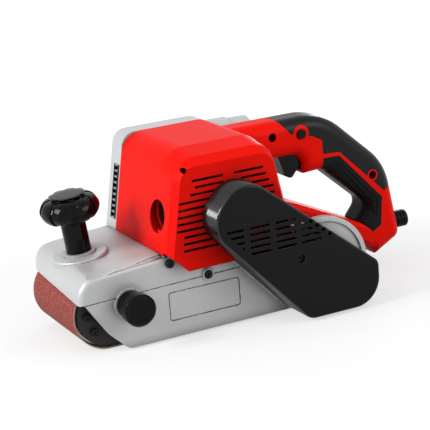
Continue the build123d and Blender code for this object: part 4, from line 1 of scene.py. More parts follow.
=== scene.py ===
import math
import bpy
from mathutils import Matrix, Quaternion, Vector


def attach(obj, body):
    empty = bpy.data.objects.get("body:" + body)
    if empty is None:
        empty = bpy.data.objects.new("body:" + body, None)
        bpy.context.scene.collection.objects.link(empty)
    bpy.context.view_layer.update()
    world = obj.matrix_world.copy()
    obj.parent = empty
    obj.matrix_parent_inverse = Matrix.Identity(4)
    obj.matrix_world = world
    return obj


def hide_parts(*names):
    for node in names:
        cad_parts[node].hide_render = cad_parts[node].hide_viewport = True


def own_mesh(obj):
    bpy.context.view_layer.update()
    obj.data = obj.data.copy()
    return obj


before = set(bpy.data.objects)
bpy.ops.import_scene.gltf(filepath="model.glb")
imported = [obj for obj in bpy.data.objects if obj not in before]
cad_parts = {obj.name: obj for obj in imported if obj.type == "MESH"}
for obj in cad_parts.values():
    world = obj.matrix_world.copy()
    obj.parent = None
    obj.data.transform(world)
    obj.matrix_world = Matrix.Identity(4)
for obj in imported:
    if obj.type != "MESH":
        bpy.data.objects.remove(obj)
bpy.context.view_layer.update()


# Studio: a sweep of matt white card that shows as plain white and keeps the sander's shadow. A soft box
# stands before the nose and a weaker one at the left rear. Two narrow strip lights, before the nose and
# behind the handle, draw bright edges.
MM = 0.001
WHITE = "#ffffff"


def linear(code):
    """Linear colour of an sRGB hex value."""
    parts = [int(code[i:i + 2], 16) / 255.0 for i in (1, 3, 5)]
    return [p / 12.92 if p <= 0.04045 else ((p + 0.055) / 1.055) ** 2.4 for p in parts] + [1.0]


def add_node(tree, kind, inputs=None, **settings):
    """New node with its settings. An input that is given a socket is linked to it, any other is set."""
    made = tree.nodes.new(kind)
    for name, value in settings.items():
        setattr(made, name, value)
    for name, value in (inputs or {}).items():
        if isinstance(value, bpy.types.NodeSocket):
            tree.links.new(value, made.inputs[name])
        else:
            made.inputs[name].default_value = value
    return made


def empty_tree(owner):
    """Node tree of a material or a world, cleared."""
    owner.use_nodes = True
    owner.node_tree.nodes.clear()
    return owner.node_tree


def seen_directly(tree):
    """1 for rays that the eye sees, straight, in a mirror or through glass, and 0 for all others."""
    path = add_node(tree, "ShaderNodeLightPath")
    mirror = add_node(tree, "ShaderNodeMath", {
        0: path.outputs["Is Camera Ray"], 1: path.outputs["Is Glossy Ray"]}, operation="MAXIMUM")
    either = add_node(tree, "ShaderNodeMath", {
        0: mirror.outputs[0], 1: path.outputs["Is Transmission Ray"]}, operation="MAXIMUM")
    return either.outputs[0]


FILL_LEVEL, PAPER_LEVEL = 0.60, 1.0
sweep = bpy.data.worlds.new("white_sweep")
bpy.context.scene.world = sweep
tree = empty_tree(sweep)
fill = add_node(tree, "ShaderNodeBackground", {"Color": linear(WHITE), "Strength": FILL_LEVEL})
paper = add_node(tree, "ShaderNodeBackground", {"Color": linear(WHITE), "Strength": PAPER_LEVEL})
both = add_node(tree, "ShaderNodeMixShader", {
    0: seen_directly(tree), 1: fill.outputs[0], 2: paper.outputs[0]})
add_node(tree, "ShaderNodeOutputWorld", {"Surface": both.outputs[0]})

FLOOR_SIDE, FLOOR_DROP = 6.0, 0.3 * MM
bpy.ops.object.select_all(action="DESELECT")
bpy.ops.mesh.primitive_plane_add(size=FLOOR_SIDE, location=(0, 0, -FLOOR_DROP))
floor = bpy.context.object
floor.name = "floor"
bpy.ops.object.transform_apply(location=True, rotation=True, scale=True)
# Matt card: a pale grey that takes the shadow, under a white glow that only the eye sees. The lamps fall off
# away from the sander, so the glow rises there, and it stays low near the sander, where the shadow lies.
GLOW_NEAR, GLOW_FAR = 0.25, 0.9
GLOW_LOW, GLOW_HIGH = 1.05, 1.5
GLOW_SHARE = 0.55
card = bpy.data.materials.new("matt_white_card")
tree = empty_tree(card)
matt = add_node(tree, "ShaderNodeBsdfDiffuse", {"Color": linear("#ececec")})
at = add_node(tree, "ShaderNodeTexCoord").outputs["Object"]
away = add_node(tree, "ShaderNodeVectorMath", {0: at}, operation="LENGTH")
level = add_node(tree, "ShaderNodeMapRange", {
    "Value": away.outputs["Value"], "From Min": GLOW_NEAR, "From Max": GLOW_FAR,
    "To Min": GLOW_LOW, "To Max": GLOW_HIGH})
strength = add_node(tree, "ShaderNodeMath", {0: seen_directly(tree), 1: level.outputs[0]},
                    operation="MULTIPLY")
glow = add_node(tree, "ShaderNodeEmission", {"Color": linear(WHITE), "Strength": strength.outputs[0]})
half = add_node(tree, "ShaderNodeMixShader", {0: GLOW_SHARE, 1: matt.outputs[0], 2: glow.outputs[0]})
add_node(tree, "ShaderNodeOutputMaterial", {"Surface": half.outputs[0]})
floor.data.materials.append(card)

SANDER_MIDDLE = Vector((0.0, 0.0, 0.08))


def lamp(name, location, width, height, watts):
    """Area lamp aimed at the middle of the sander: it lights and shows in reflections, but not to the eye."""
    made = bpy.data.objects.new(name, bpy.data.lights.new(name, "AREA"))
    bpy.context.scene.collection.objects.link(made)
    made.data.shape = "RECTANGLE"
    made.data.size, made.data.size_y = width, height
    made.data.energy = watts
    made.location = location
    made.rotation_mode = "QUATERNION"
    made.rotation_quaternion = (made.location - SANDER_MIDDLE).to_track_quat("Z", "Y")
    made.visible_camera = False


lamp("soft_box", (1.75, 0.25, 1.15), width=0.7, height=0.7, watts=28.0)
lamp("front_strip", (1.77, -0.40, 0.55), width=0.06, height=0.5, watts=6.0)
lamp("rear_strip", (-1.05, -1.05, 0.42), width=0.16, height=0.6, watts=4.5)
lamp("fill_box", (-0.95, 1.15, 0.75), width=0.8, height=0.8, watts=9.0)

# Camera: where the photograph was taken from, with the way back from the sander, the tilt and the lens.
EYE = Vector((0.57846, 1.26403, 0.49406))
BACK = Vector((0.42079, 0.86313, 0.27917))
TILT = math.radians(-4.52)
SENSOR, LENS = 36.0, 129.77
camera = bpy.data.objects.new("camera", bpy.data.cameras.new("camera"))
bpy.context.scene.collection.objects.link(camera)
camera.location = EYE
camera.rotation_mode = "QUATERNION"
camera.rotation_quaternion = BACK.to_track_quat("Z", "Y") @ Quaternion((0, 0, 1), TILT)
camera.data.sensor_width = SENSOR
camera.data.lens = LENS
bpy.context.scene.camera = camera
bpy.context.scene.view_settings.view_transform = "Standard"


# Frame: one pressure die casting in aluminium with its deck, nose, skirt and drive case, shot-blasted and
# sprayed with silver paint. The motor's end housing and the dust spigot are cast and painted the same way.
def dress(material, *names):
    """Gives the named CAD nodes this material."""
    for name in names:
        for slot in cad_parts[name].material_slots:
            slot.material = material


def blank(name):
    """New material with an empty tree."""
    material = bpy.data.materials.new(name)
    return material, empty_tree(material)


def per_mm(size):
    """Scale of a pattern that repeats about once in this many millimetres."""
    return 1.0 / (size * MM)


def edge_wear_and_highlight(tree, soft_normal, full_at, whole=0.995):
    """Mask that is 1 along the edges: it rises as the softened normal's cosine to the flat one falls."""
    flat = add_node(tree, "ShaderNodeNewGeometry")
    turn = add_node(tree, "ShaderNodeVectorMath", {0: soft_normal, 1: flat.outputs["Normal"]},
                    operation="DOT_PRODUCT")
    mask = add_node(tree, "ShaderNodeMapRange", {
        "Value": turn.outputs["Value"], "From Min": whole, "From Max": full_at})
    return mask.outputs[0]


def painted_corner_shade(tree, reach, darkest):
    """Painted shade in corners, grooves and gaps: 1 on open faces, the darkest shade deep inside."""
    corner = add_node(tree, "ShaderNodeAmbientOcclusion", {"Distance": reach * MM}, samples=8)
    shade = add_node(tree, "ShaderNodeMapRange", {
        "Value": corner.outputs["AO"], "From Min": 0.3, "From Max": 0.85,
        "To Min": darkest, "To Max": 1.0})
    return shade.outputs[0]


# Sockets of a Mix node that mixes colours: the second colour's share, the two colours, and the mixed one.
SHARE, FIRST, SECOND, MIXED = 0, 6, 7, 2
SOFT_SAMPLES = 6
# Silver paint on a casting: a grey base with fine aluminium flake, faintly mottled where the coat is thin,
# with orange peel under the gloss and brighter metal rubbed through on the edges.
silver, tree = blank("silver_paint_on_casting")
at = add_node(tree, "ShaderNodeTexCoord").outputs["Object"]
# flake drawn 10 times coarser
flake = add_node(tree, "ShaderNodeTexVoronoi", {"Vector": at, "Scale": per_mm(0.5)})
flake_shade = add_node(tree, "ShaderNodeMapRange", {
    "Value": flake.outputs["Color"], "To Min": 0.93, "To Max": 1.06})
mottle = add_node(tree, "ShaderNodeTexNoise", {"Vector": at, "Scale": per_mm(28.0), "Detail": 4.0})
mottle_shade = add_node(tree, "ShaderNodeMapRange", {
    "Value": mottle.outputs["Fac"], "To Min": 0.94, "To Max": 1.05})
shade = add_node(tree, "ShaderNodeMath", {0: flake_shade.outputs[0], 1: mottle_shade.outputs[0]},
                 operation="MULTIPLY")
coat = add_node(tree, "ShaderNodeMix", {SHARE: 1.0, FIRST: linear("#bebfc0"), SECOND: shade.outputs[0]},
                data_type="RGBA", blend_type="MULTIPLY")
soft_normal = add_node(tree, "ShaderNodeBevel", {"Radius": 0.7 * MM}, samples=SOFT_SAMPLES).outputs[0]
edge = edge_wear_and_highlight(tree, soft_normal, full_at=0.9)
# Painted shade: the silver darkens in corners and grooves and where other parts stand close.
coat = add_node(tree, "ShaderNodeMix", {
    SHARE: 1.0, FIRST: coat.outputs[MIXED], SECOND: painted_corner_shade(tree, reach=16.0, darkest=0.2)},
    data_type="RGBA", blend_type="MULTIPLY")
chips = add_node(tree, "ShaderNodeTexNoise", {"Vector": at, "Scale": per_mm(3.5), "Detail": 3.0})
chip_mask = add_node(tree, "ShaderNodeMapRange", {
    "Value": chips.outputs["Fac"], "From Min": 0.42, "From Max": 0.62})
rubbed = add_node(tree, "ShaderNodeMath", {0: edge, 1: chip_mask.outputs[0]}, operation="MULTIPLY")
colour = add_node(tree, "ShaderNodeMix", {
    SHARE: rubbed.outputs[0], FIRST: coat.outputs[MIXED], SECOND: linear("#ebebea")}, data_type="RGBA")
gloss = add_node(tree, "ShaderNodeMapRange", {
    "Value": mottle.outputs["Fac"], "To Min": 0.34, "To Max": 0.46})
peel = add_node(tree, "ShaderNodeTexNoise", {"Vector": at, "Scale": per_mm(1.1), "Detail": 2.0})
relief = add_node(tree, "ShaderNodeBump", {
    "Height": peel.outputs["Fac"], "Normal": soft_normal, "Strength": 0.10, "Distance": 0.15 * MM})
paint = add_node(tree, "ShaderNodeBsdfPrincipled", {
    "Base Color": colour.outputs[MIXED], "Metallic": 0.3, "Roughness": gloss.outputs[0],
    "Normal": relief.outputs[0]})
add_node(tree, "ShaderNodeOutputMaterial", {"Surface": paint.outputs[0]})
dress(silver, "main_frame", "motor_end_housing", "dust_spigot")


# Sanding plate: a spring-steel sheet over a pad of pressed cork and graphite, screwed to the frame above the
# belt's lower run.
# Pressed cork: granules about 2 mm wide in light and dark brown, dull from the graphite.
cork, tree = blank("pressed_cork_and_graphite")
at = add_node(tree, "ShaderNodeTexCoord").outputs["Object"]
grain = add_node(tree, "ShaderNodeTexVoronoi", {"Vector": at, "Scale": per_mm(2.2)})
shades = add_node(tree, "ShaderNodeValToRGB", {0: grain.outputs["Color"]})
shades.color_ramp.elements[0].color = linear("#4a3626")
shades.color_ramp.elements[1].color = linear("#a57b50")
pits = add_node(tree, "ShaderNodeBump", {
    "Height": grain.outputs["Distance"], "Strength": 0.4, "Distance": 0.3 * MM})
dull = add_node(tree, "ShaderNodeBsdfPrincipled", {
    "Base Color": shades.outputs[0], "Roughness": 0.85, "Normal": pits.outputs[0]})
add_node(tree, "ShaderNodeOutputMaterial", {"Surface": dull.outputs[0]})
dress(cork, "platen_pad")


def machined(name, colour, roughness, line, stretch):
    """Bare metal with tool lines, drawn several times coarser: a noise pulled out where stretch is small."""
    material, tree = blank(name)
    at = add_node(tree, "ShaderNodeTexCoord").outputs["Object"]
    drawn = add_node(tree, "ShaderNodeMapping", {"Vector": at, "Scale": stretch})
    lines = add_node(tree, "ShaderNodeTexNoise", {
        "Vector": drawn.outputs[0], "Scale": per_mm(line), "Detail": 3.0})
    tone = add_node(tree, "ShaderNodeMapRange", {
        "Value": lines.outputs["Fac"], "To Min": 0.86, "To Max": 1.08})
    metal = add_node(tree, "ShaderNodeMix", {SHARE: 1.0, FIRST: linear(colour), SECOND: tone.outputs[0]},
                     data_type="RGBA", blend_type="MULTIPLY")
    gloss = add_node(tree, "ShaderNodeMapRange", {
        "Value": lines.outputs["Fac"], "To Min": roughness - 0.07, "To Max": roughness + 0.09})
    soft = add_node(tree, "ShaderNodeBevel", {"Radius": 0.3 * MM}, samples=SOFT_SAMPLES)
    cut = add_node(tree, "ShaderNodeBump", {
        "Height": lines.outputs["Fac"], "Normal": soft.outputs[0], "Strength": 0.12, "Distance": 0.08 * MM})
    shader = add_node(tree, "ShaderNodeBsdfPrincipled", {
        "Base Color": metal.outputs[MIXED], "Metallic": 1.0, "Roughness": gloss.outputs[0],
        "Normal": cut.outputs[0]})
    add_node(tree, "ShaderNodeOutputMaterial", {"Surface": shader.outputs[0]})
    return material


# Spring steel sheet: cold rolled, a dull grey with lines along the rolling direction.
spring_steel = machined("rolled_spring_steel", "#8f9194", roughness=0.34, line=1.2, stretch=(0.08, 1.0, 1.0))
dress(spring_steel, "platen_sheet")


# Rollers: turned aluminium, the drive roller lagged with bonded nitrile rubber for grip, on ground steel
# shafts and shielded ball bearings.
# Turned aluminium: bright, with rings left by the tool round the axis.
ROUND_AXIS = (0.12, 1.0, 0.12)
turned_aluminium = machined("turned_aluminium", "#c9cacc", roughness=0.30, line=0.6, stretch=ROUND_AXIS)
dress(turned_aluminium, "drive_roller_core", "front_roller")
# Ground bearing steel: bright and fine-lined.
ground_steel = machined("ground_bearing_steel", "#b4b6b9", roughness=0.22, line=0.5, stretch=ROUND_AXIS)
dress(ground_steel, "drive_shaft", "front_axle", "drive_bearings", "front_bearings")


def rubbery(name, colour, roughness, grain, depth, specular=0.15):
    """Black rubber with a moulded grain, drawn about 3 times coarser, soft edges and dusty patches."""
    material, tree = blank(name)
    at = add_node(tree, "ShaderNodeTexCoord").outputs["Object"]
    dust = add_node(tree, "ShaderNodeTexNoise", {"Vector": at, "Scale": per_mm(14.0), "Detail": 4.0})
    tone = add_node(tree, "ShaderNodeMapRange", {
        "Value": dust.outputs["Fac"], "To Min": 0.85, "To Max": 1.2})
    body = add_node(tree, "ShaderNodeMix", {SHARE: 1.0, FIRST: linear(colour), SECOND: tone.outputs[0]},
                    data_type="RGBA", blend_type="MULTIPLY")
    soft = add_node(tree, "ShaderNodeBevel", {"Radius": 0.8 * MM}, samples=SOFT_SAMPLES)
    pores = add_node(tree, "ShaderNodeTexNoise", {"Vector": at, "Scale": per_mm(grain), "Detail": 2.0})
    skin = add_node(tree, "ShaderNodeBump", {
        "Height": pores.outputs["Fac"], "Normal": soft.outputs[0], "Strength": depth, "Distance": 0.2 * MM})
    gloss = add_node(tree, "ShaderNodeMapRange", {
        "Value": dust.outputs["Fac"], "To Min": roughness - 0.05, "To Max": roughness + 0.08})
    shader = add_node(tree, "ShaderNodeBsdfPrincipled", {
        "Base Color": body.outputs[MIXED], "Roughness": gloss.outputs[0], "Specular IOR Level": specular,
        "Normal": skin.outputs[0]})
    add_node(tree, "ShaderNodeOutputMaterial", {"Surface": shader.outputs[0]})
    return material


# Nitrile lagging: dull black, with the faint grain of ground rubber.
nitrile = rubbery("ground_nitrile_rubber", "#1b1b1c", roughness=0.7, grain=0.7, depth=0.25)
dress(nitrile, "drive_roller_tyre")


# Tracking fork, tension carriage and lever: sand-cast iron, phosphated and oiled. They carry the front
# roller and move on ground steel pins, and the tracking screw tilts the fork.
# Phosphated iron: near black, with the sand's fine grain and oily patches, and greyer along its edges.
black_iron, tree = blank("oiled_black_cast_iron")
at = add_node(tree, "ShaderNodeTexCoord").outputs["Object"]
sand = add_node(tree, "ShaderNodeTexNoise", {"Vector": at, "Scale": per_mm(1.3), "Detail": 4.0})
oil = add_node(tree, "ShaderNodeTexNoise", {"Vector": at, "Scale": per_mm(12.0), "Detail": 2.0})
soft_normal = add_node(tree, "ShaderNodeBevel", {"Radius": 0.5 * MM}, samples=SOFT_SAMPLES).outputs[0]
edge = edge_wear_and_highlight(tree, soft_normal, full_at=0.9)
tones = add_node(tree, "ShaderNodeMapRange", {"Value": oil.outputs["Fac"], "To Min": 0.75, "To Max": 1.25})
dark = add_node(tree, "ShaderNodeMix", {SHARE: 1.0, FIRST: linear("#161617"), SECOND: tones.outputs[0]},
                data_type="RGBA", blend_type="MULTIPLY")
bright = add_node(tree, "ShaderNodeMath", {0: edge, 1: 0.5}, operation="MULTIPLY")
colour = add_node(tree, "ShaderNodeMix", {
    SHARE: bright.outputs[0], FIRST: dark.outputs[MIXED], SECOND: linear("#4a4a4b")}, data_type="RGBA")
gloss = add_node(tree, "ShaderNodeMapRange", {"Value": oil.outputs["Fac"], "To Min": 0.36, "To Max": 0.6})
relief = add_node(tree, "ShaderNodeBump", {
    "Height": sand.outputs["Fac"], "Normal": soft_normal, "Strength": 0.25, "Distance": 0.15 * MM})
iron = add_node(tree, "ShaderNodeBsdfPrincipled", {
    "Base Color": colour.outputs[MIXED], "Metallic": 0.3, "Roughness": gloss.outputs[0],
    "Normal": relief.outputs[0]})
add_node(tree, "ShaderNodeOutputMaterial", {"Surface": iron.outputs[0]})
dress(black_iron, "tracking_yoke", "tension_carriage", "tension_lever")
dress(ground_steel, "pivot_stud", "lever_pin", "tracking_screw")


# Tension spring: cold-wound round wire with a closed turn at each end. It sits on a spigot of the frame and
# pushes the carriage forward, and it shortens as the lever draws the carriage back.
SPRING_BACK, SPRING_FRONT = -26.0 * MM, 13.5 * MM
WIRE, COIL_RADIUS, SPRING_Z = 2.4 * MM, 6.75 * MM, 32.5 * MM
TURNS, STEPS, SIDES = 8, 28, 12
bpy.ops.object.select_all(action="DESELECT")
bpy.ops.mesh.primitive_circle_add(vertices=SIDES, radius=WIRE / 2,
                                  location=(SPRING_BACK + WIRE / 2, 0, SPRING_Z))
coil = bpy.context.object
coil.name = "tension_coil"
bpy.ops.object.mode_set(mode="EDIT")
bpy.ops.mesh.select_all(action="SELECT")
bpy.ops.transform.rotate(value=math.pi / 2, orient_axis="X", center_override=coil.location)
bpy.ops.transform.translate(value=(0, 0, COIL_RADIUS))
bpy.ops.object.mode_set(mode="OBJECT")
pitch = (SPRING_FRONT - SPRING_BACK - WIRE) / TURNS
wind = coil.modifiers.new("wind", "SCREW")
wind.axis = "X"
wind.screw_offset = pitch
wind.iterations = TURNS
wind.steps = wind.render_steps = STEPS
wind.use_merge_vertices = False
bpy.ops.object.modifier_apply(modifier="wind")
# The first and last turns lie against the next wire, and the turns between share what is left.
open_pitch = (SPRING_FRONT - SPRING_BACK - WIRE - 2 * WIRE) / (TURNS - 2)
for vertex in coil.data.vertices:
    turn = (vertex.index // SIDES) / STEPS
    if turn <= 1:
        along = WIRE * turn
    elif turn >= TURNS - 1:
        along = SPRING_FRONT - SPRING_BACK - WIRE - WIRE * (TURNS - turn)
    else:
        along = WIRE + open_pitch * (turn - 1)
    vertex.co.x += along - pitch * turn
bpy.ops.object.mode_set(mode="EDIT")
bpy.ops.mesh.select_all(action="DESELECT")
bpy.ops.mesh.select_mode(type="EDGE")
bpy.ops.mesh.select_non_manifold()
bpy.ops.mesh.fill()
bpy.ops.mesh.select_all(action="SELECT")
bpy.ops.mesh.normals_make_consistent(inside=False)
bpy.ops.object.mode_set(mode="OBJECT")
bpy.ops.object.shade_smooth_by_angle(angle=math.radians(40))
bpy.ops.object.transform_apply(location=True, rotation=True, scale=True)
# Spring wire: drawn and blued, dark with fine lines.
blued = machined("blued_spring_wire", "#4b4d52", roughness=0.3, line=0.8, stretch=(1.0, 0.3, 0.3))
coil.data.materials.append(blued)
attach(coil, "frame")
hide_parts("tension_spring")
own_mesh(coil)


# Abrasive belt: aluminium-oxide grit in red-brown resin on cotton cloth, made up into a loop with a slanting
# splice. The grit faces out, and the bare cloth faces the rollers and shows along the cut edges.
BELT_MIDDLE_X, BELT_MIDDLE_Z, BELT_HALF_RUN = -2.235, 32.5, 102.235
CLOTH_RADIUS, CUT_EDGE = 32.15, 49.3
SPLICE_X, SPLICE_HALF, SPLICE_SLANT = -30.0, 0.5, 0.7


def band_scale(spacing):
    """Scale of a Wave texture whose bands lie this many millimetres apart: it turns 20 radians in a unit."""
    return per_mm(spacing) * math.tau / 20.0


belt_cloth, tree = blank("aluminium_oxide_cloth")
at = add_node(tree, "ShaderNodeTexCoord").outputs["Object"]
spot = add_node(tree, "ShaderNodeSeparateXYZ", {0: at})
# The grit lies outside the cloth's radius, measured from the loop's middle line between the two rollers.
from_middle = add_node(tree, "ShaderNodeMath", {0: spot.outputs["X"], 1: BELT_MIDDLE_X * MM},
                       operation="SUBTRACT")
reach = add_node(tree, "ShaderNodeMath", {0: from_middle.outputs[0]}, operation="ABSOLUTE")
past = add_node(tree, "ShaderNodeMath", {0: reach.outputs[0], 1: BELT_HALF_RUN * MM}, operation="SUBTRACT")
wrap = add_node(tree, "ShaderNodeMath", {0: past.outputs[0], 1: 0.0}, operation="MAXIMUM")
rise = add_node(tree, "ShaderNodeMath", {0: spot.outputs["Z"], 1: BELT_MIDDLE_Z * MM},
                operation="SUBTRACT")
across = add_node(tree, "ShaderNodeCombineXYZ", {0: wrap.outputs[0], 2: rise.outputs[0]})
far = add_node(tree, "ShaderNodeVectorMath", {0: across.outputs[0]}, operation="LENGTH")
gritty = add_node(tree, "ShaderNodeMath", {0: far.outputs["Value"], 1: CLOTH_RADIUS * MM},
                  operation="GREATER_THAN")
# Grit: dull sharp grains in three shades of red-brown, a little clogged in patches; 60 grit drawn 4 times
# coarser.
grit = add_node(tree, "ShaderNodeTexVoronoi", {"Vector": at, "Scale": per_mm(1.0)})
grit_shade = add_node(tree, "ShaderNodeValToRGB", {0: grit.outputs["Color"]})
ramp = grit_shade.color_ramp
ramp.elements[0].position = 0.10
ramp.elements[0].color = linear("#64231d")
ramp.elements[1].position = 0.92
ramp.elements[1].color = linear("#a45549")
middle = ramp.elements.new(0.5)
middle.color = linear("#86332a")
clog = add_node(tree, "ShaderNodeTexNoise", {"Vector": at, "Scale": per_mm(22.0), "Detail": 3.0})
clog_shade = add_node(tree, "ShaderNodeMapRange", {
    "Value": clog.outputs["Fac"], "To Min": 0.9, "To Max": 1.1})
grit_colour = add_node(tree, "ShaderNodeMix", {
    SHARE: 1.0, FIRST: grit_shade.outputs[0], SECOND: clog_shade.outputs[0]},
    data_type="RGBA", blend_type="MULTIPLY")
# Cotton: buff, with its warp threads drawn about 10 times coarser.
warp = add_node(tree, "ShaderNodeTexWave", {
    "Vector": at, "Scale": band_scale(3.16), "Distortion": 0.3}, bands_direction="Y")
cloth_colour = add_node(tree, "ShaderNodeMix", {
    SHARE: warp.outputs["Fac"], FIRST: linear("#8c7a63"), SECOND: linear("#b9a88c")}, data_type="RGBA")
slant = add_node(tree, "ShaderNodeMath", {0: spot.outputs["Y"], 1: SPLICE_SLANT}, operation="MULTIPLY")
along = add_node(tree, "ShaderNodeMath", {0: spot.outputs["X"], 1: slant.outputs[0]}, operation="ADD")
joint = add_node(tree, "ShaderNodeMath", {0: along.outputs[0], 1: SPLICE_X * MM, 2: SPLICE_HALF * MM},
                 operation="COMPARE")
off_middle = add_node(tree, "ShaderNodeMath", {0: spot.outputs["Y"]}, operation="ABSOLUTE")
uncut = add_node(tree, "ShaderNodeMath", {0: off_middle.outputs[0], 1: CUT_EDGE * MM},
                 operation="LESS_THAN")
coated = add_node(tree, "ShaderNodeMath", {0: gritty.outputs[0], 1: uncut.outputs[0]},
                  operation="MULTIPLY")
face_colour = add_node(tree, "ShaderNodeMix", {
    SHARE: coated.outputs[0], FIRST: cloth_colour.outputs[MIXED], SECOND: grit_colour.outputs[MIXED]},
    data_type="RGBA")
colour = add_node(tree, "ShaderNodeMix", {
    SHARE: joint.outputs[0], FIRST: face_colour.outputs[MIXED], SECOND: linear("#3c201c")},
    data_type="RGBA")
height = add_node(tree, "ShaderNodeMix", {
    "Factor": gritty.outputs[0], "A": warp.outputs["Fac"], "B": grit.outputs["Distance"]},
    data_type="FLOAT")
rough = add_node(tree, "ShaderNodeBump", {
    "Height": height.outputs["Result"], "Strength": 0.7, "Distance": 0.4 * MM})
abrasive = add_node(tree, "ShaderNodeBsdfPrincipled", {
    "Base Color": colour.outputs[MIXED], "Roughness": 0.82, "Normal": rough.outputs[0]})
add_node(tree, "ShaderNodeOutputMaterial", {"Surface": abrasive.outputs[0]})
dress(belt_cloth, "sanding_belt")


# Motor: a universal motor with stacked electrical-steel laminations, enamelled copper windings dipped in
# varnish, a copper commutator, and carbon brushes in brass holders.
# Laminations: blue-grey edges of 0.5 mm sheets, drawn 6 times coarser so that they show.
stack, tree = blank("electrical_steel_laminations")
at = add_node(tree, "ShaderNodeTexCoord").outputs["Object"]
sheets = add_node(tree, "ShaderNodeTexWave", {"Vector": at, "Scale": band_scale(2.96)}, bands_direction="Y")
tone = add_node(tree, "ShaderNodeMix", {
    SHARE: sheets.outputs["Fac"], FIRST: linear("#3c3e43"), SECOND: linear("#85888d")}, data_type="RGBA")
steps = add_node(tree, "ShaderNodeBump", {
    "Height": sheets.outputs["Fac"], "Strength": 0.3, "Distance": 0.1 * MM})
sheet_steel = add_node(tree, "ShaderNodeBsdfPrincipled", {
    "Base Color": tone.outputs[MIXED], "Metallic": 1.0, "Roughness": 0.42, "Normal": steps.outputs[0]})
add_node(tree, "ShaderNodeOutputMaterial", {"Surface": sheet_steel.outputs[0]})
dress(stack, "stator_core", "armature_core")
# Enamelled copper: rows of 0.8 mm wire under a brown varnish, slanting and drawn over 4 times coarser.
wire, tree = blank("varnished_copper_wire")
at = add_node(tree, "ShaderNodeTexCoord").outputs["Object"]
rows = add_node(tree, "ShaderNodeTexWave", {
    "Vector": at, "Scale": band_scale(3.16), "Distortion": 1.5}, bands_direction="DIAGONAL")
tone = add_node(tree, "ShaderNodeMix", {
    SHARE: rows.outputs["Fac"], FIRST: linear("#5a2a14"), SECOND: linear("#c47a46")}, data_type="RGBA")
turns = add_node(tree, "ShaderNodeBump", {
    "Height": rows.outputs["Fac"], "Strength": 0.6, "Distance": 0.4 * MM})
varnish = add_node(tree, "ShaderNodeBsdfPrincipled", {
    "Base Color": tone.outputs[MIXED], "Metallic": 0.7, "Roughness": 0.3, "Coat Weight": 0.6,
    "Normal": turns.outputs[0]})
add_node(tree, "ShaderNodeOutputMaterial", {"Surface": varnish.outputs[0]})
dress(wire, "field_windings", "armature_windings")
# Turned copper: bright red-brown, with rings left by the tool. Drawn brass: yellow, with fine lines.
copper = machined("turned_commutator_copper", "#c7794e", roughness=0.28, line=0.5, stretch=ROUND_AXIS)
dress(copper, "commutator")
brass = machined("drawn_brass", "#b59a4e", roughness=0.32, line=0.9, stretch=(1.0, 0.1, 1.0))
dress(brass, "brush_holders")
dress(ground_steel, "armature_shaft", "motor_bearings")
# Sintered steel: dark grey and dull, with the pores of the pressed powder.
EVEN = (1.0, 1.0, 1.0)
sintered = machined("sintered_steel", "#3c3d40", roughness=0.5, line=0.8, stretch=EVEN)
dress(sintered, "motor_pulley", "driven_pulley")
# Carbon: pressed graphite, dull grey-black with a soapy shine.
graphite = rubbery("pressed_graphite", "#26262a", roughness=0.45, grain=0.5, depth=0.15)
dress(graphite, "carbon_brushes")


# Motor housing and handle: two halves of glass-filled nylon moulded in red, split along the middle of the
# handle and screwed together. The tool steel leaves a fine satin grain. Its edges are painted a lighter
# red as a painted highlight, and painted shade darkens its corners, slots and the faces behind the cover.
red_nylon, tree = blank("moulded_red_nylon")
at = add_node(tree, "ShaderNodeTexCoord").outputs["Object"]
flow = add_node(tree, "ShaderNodeTexNoise", {"Vector": at, "Scale": per_mm(45.0), "Detail": 3.0})
flow_shade = add_node(tree, "ShaderNodeMapRange", {
    "Value": flow.outputs["Fac"], "To Min": 0.93, "To Max": 1.07})
soft_normal = add_node(tree, "ShaderNodeBevel", {"Radius": 0.9 * MM}, samples=SOFT_SAMPLES).outputs[0]
edge = edge_wear_and_highlight(tree, soft_normal, full_at=0.88)
body = add_node(tree, "ShaderNodeMix", {SHARE: 1.0, FIRST: linear("#e61409"), SECOND: flow_shade.outputs[0]},
                data_type="RGBA", blend_type="MULTIPLY")
# Painted shade: the red darkens in corners and slots and on the faces behind the belt cover.
body = add_node(tree, "ShaderNodeMix", {
    SHARE: 1.0, FIRST: body.outputs[MIXED], SECOND: painted_corner_shade(tree, reach=30.0, darkest=0.15)},
    data_type="RGBA", blend_type="MULTIPLY")
# Painted highlight: the edges turn a lighter red, as if they caught the light.
painted_edge_highlight = add_node(tree, "ShaderNodeMath", {0: edge, 1: 0.45}, operation="MULTIPLY")
colour = add_node(tree, "ShaderNodeMix", {
    SHARE: painted_edge_highlight.outputs[0], FIRST: body.outputs[MIXED], SECOND: linear("#f4241a")}, data_type="RGBA")
# grain drawn 3 times coarser
grain = add_node(tree, "ShaderNodeTexNoise", {"Vector": at, "Scale": per_mm(0.7), "Detail": 2.0})
satin = add_node(tree, "ShaderNodeBump", {
    "Height": grain.outputs["Fac"], "Normal": soft_normal, "Strength": 0.12, "Distance": 0.12 * MM})
gloss = add_node(tree, "ShaderNodeMapRange", {"Value": flow.outputs["Fac"], "To Min": 0.36, "To Max": 0.46})
nylon = add_node(tree, "ShaderNodeBsdfPrincipled", {
    "Base Color": colour.outputs[MIXED], "Roughness": gloss.outputs[0], "Specular IOR Level": 0.04,
    "Normal": satin.outputs[0]})
add_node(tree, "ShaderNodeOutputMaterial", {"Surface": nylon.outputs[0]})
dress(red_nylon, "housing_left", "housing_right")


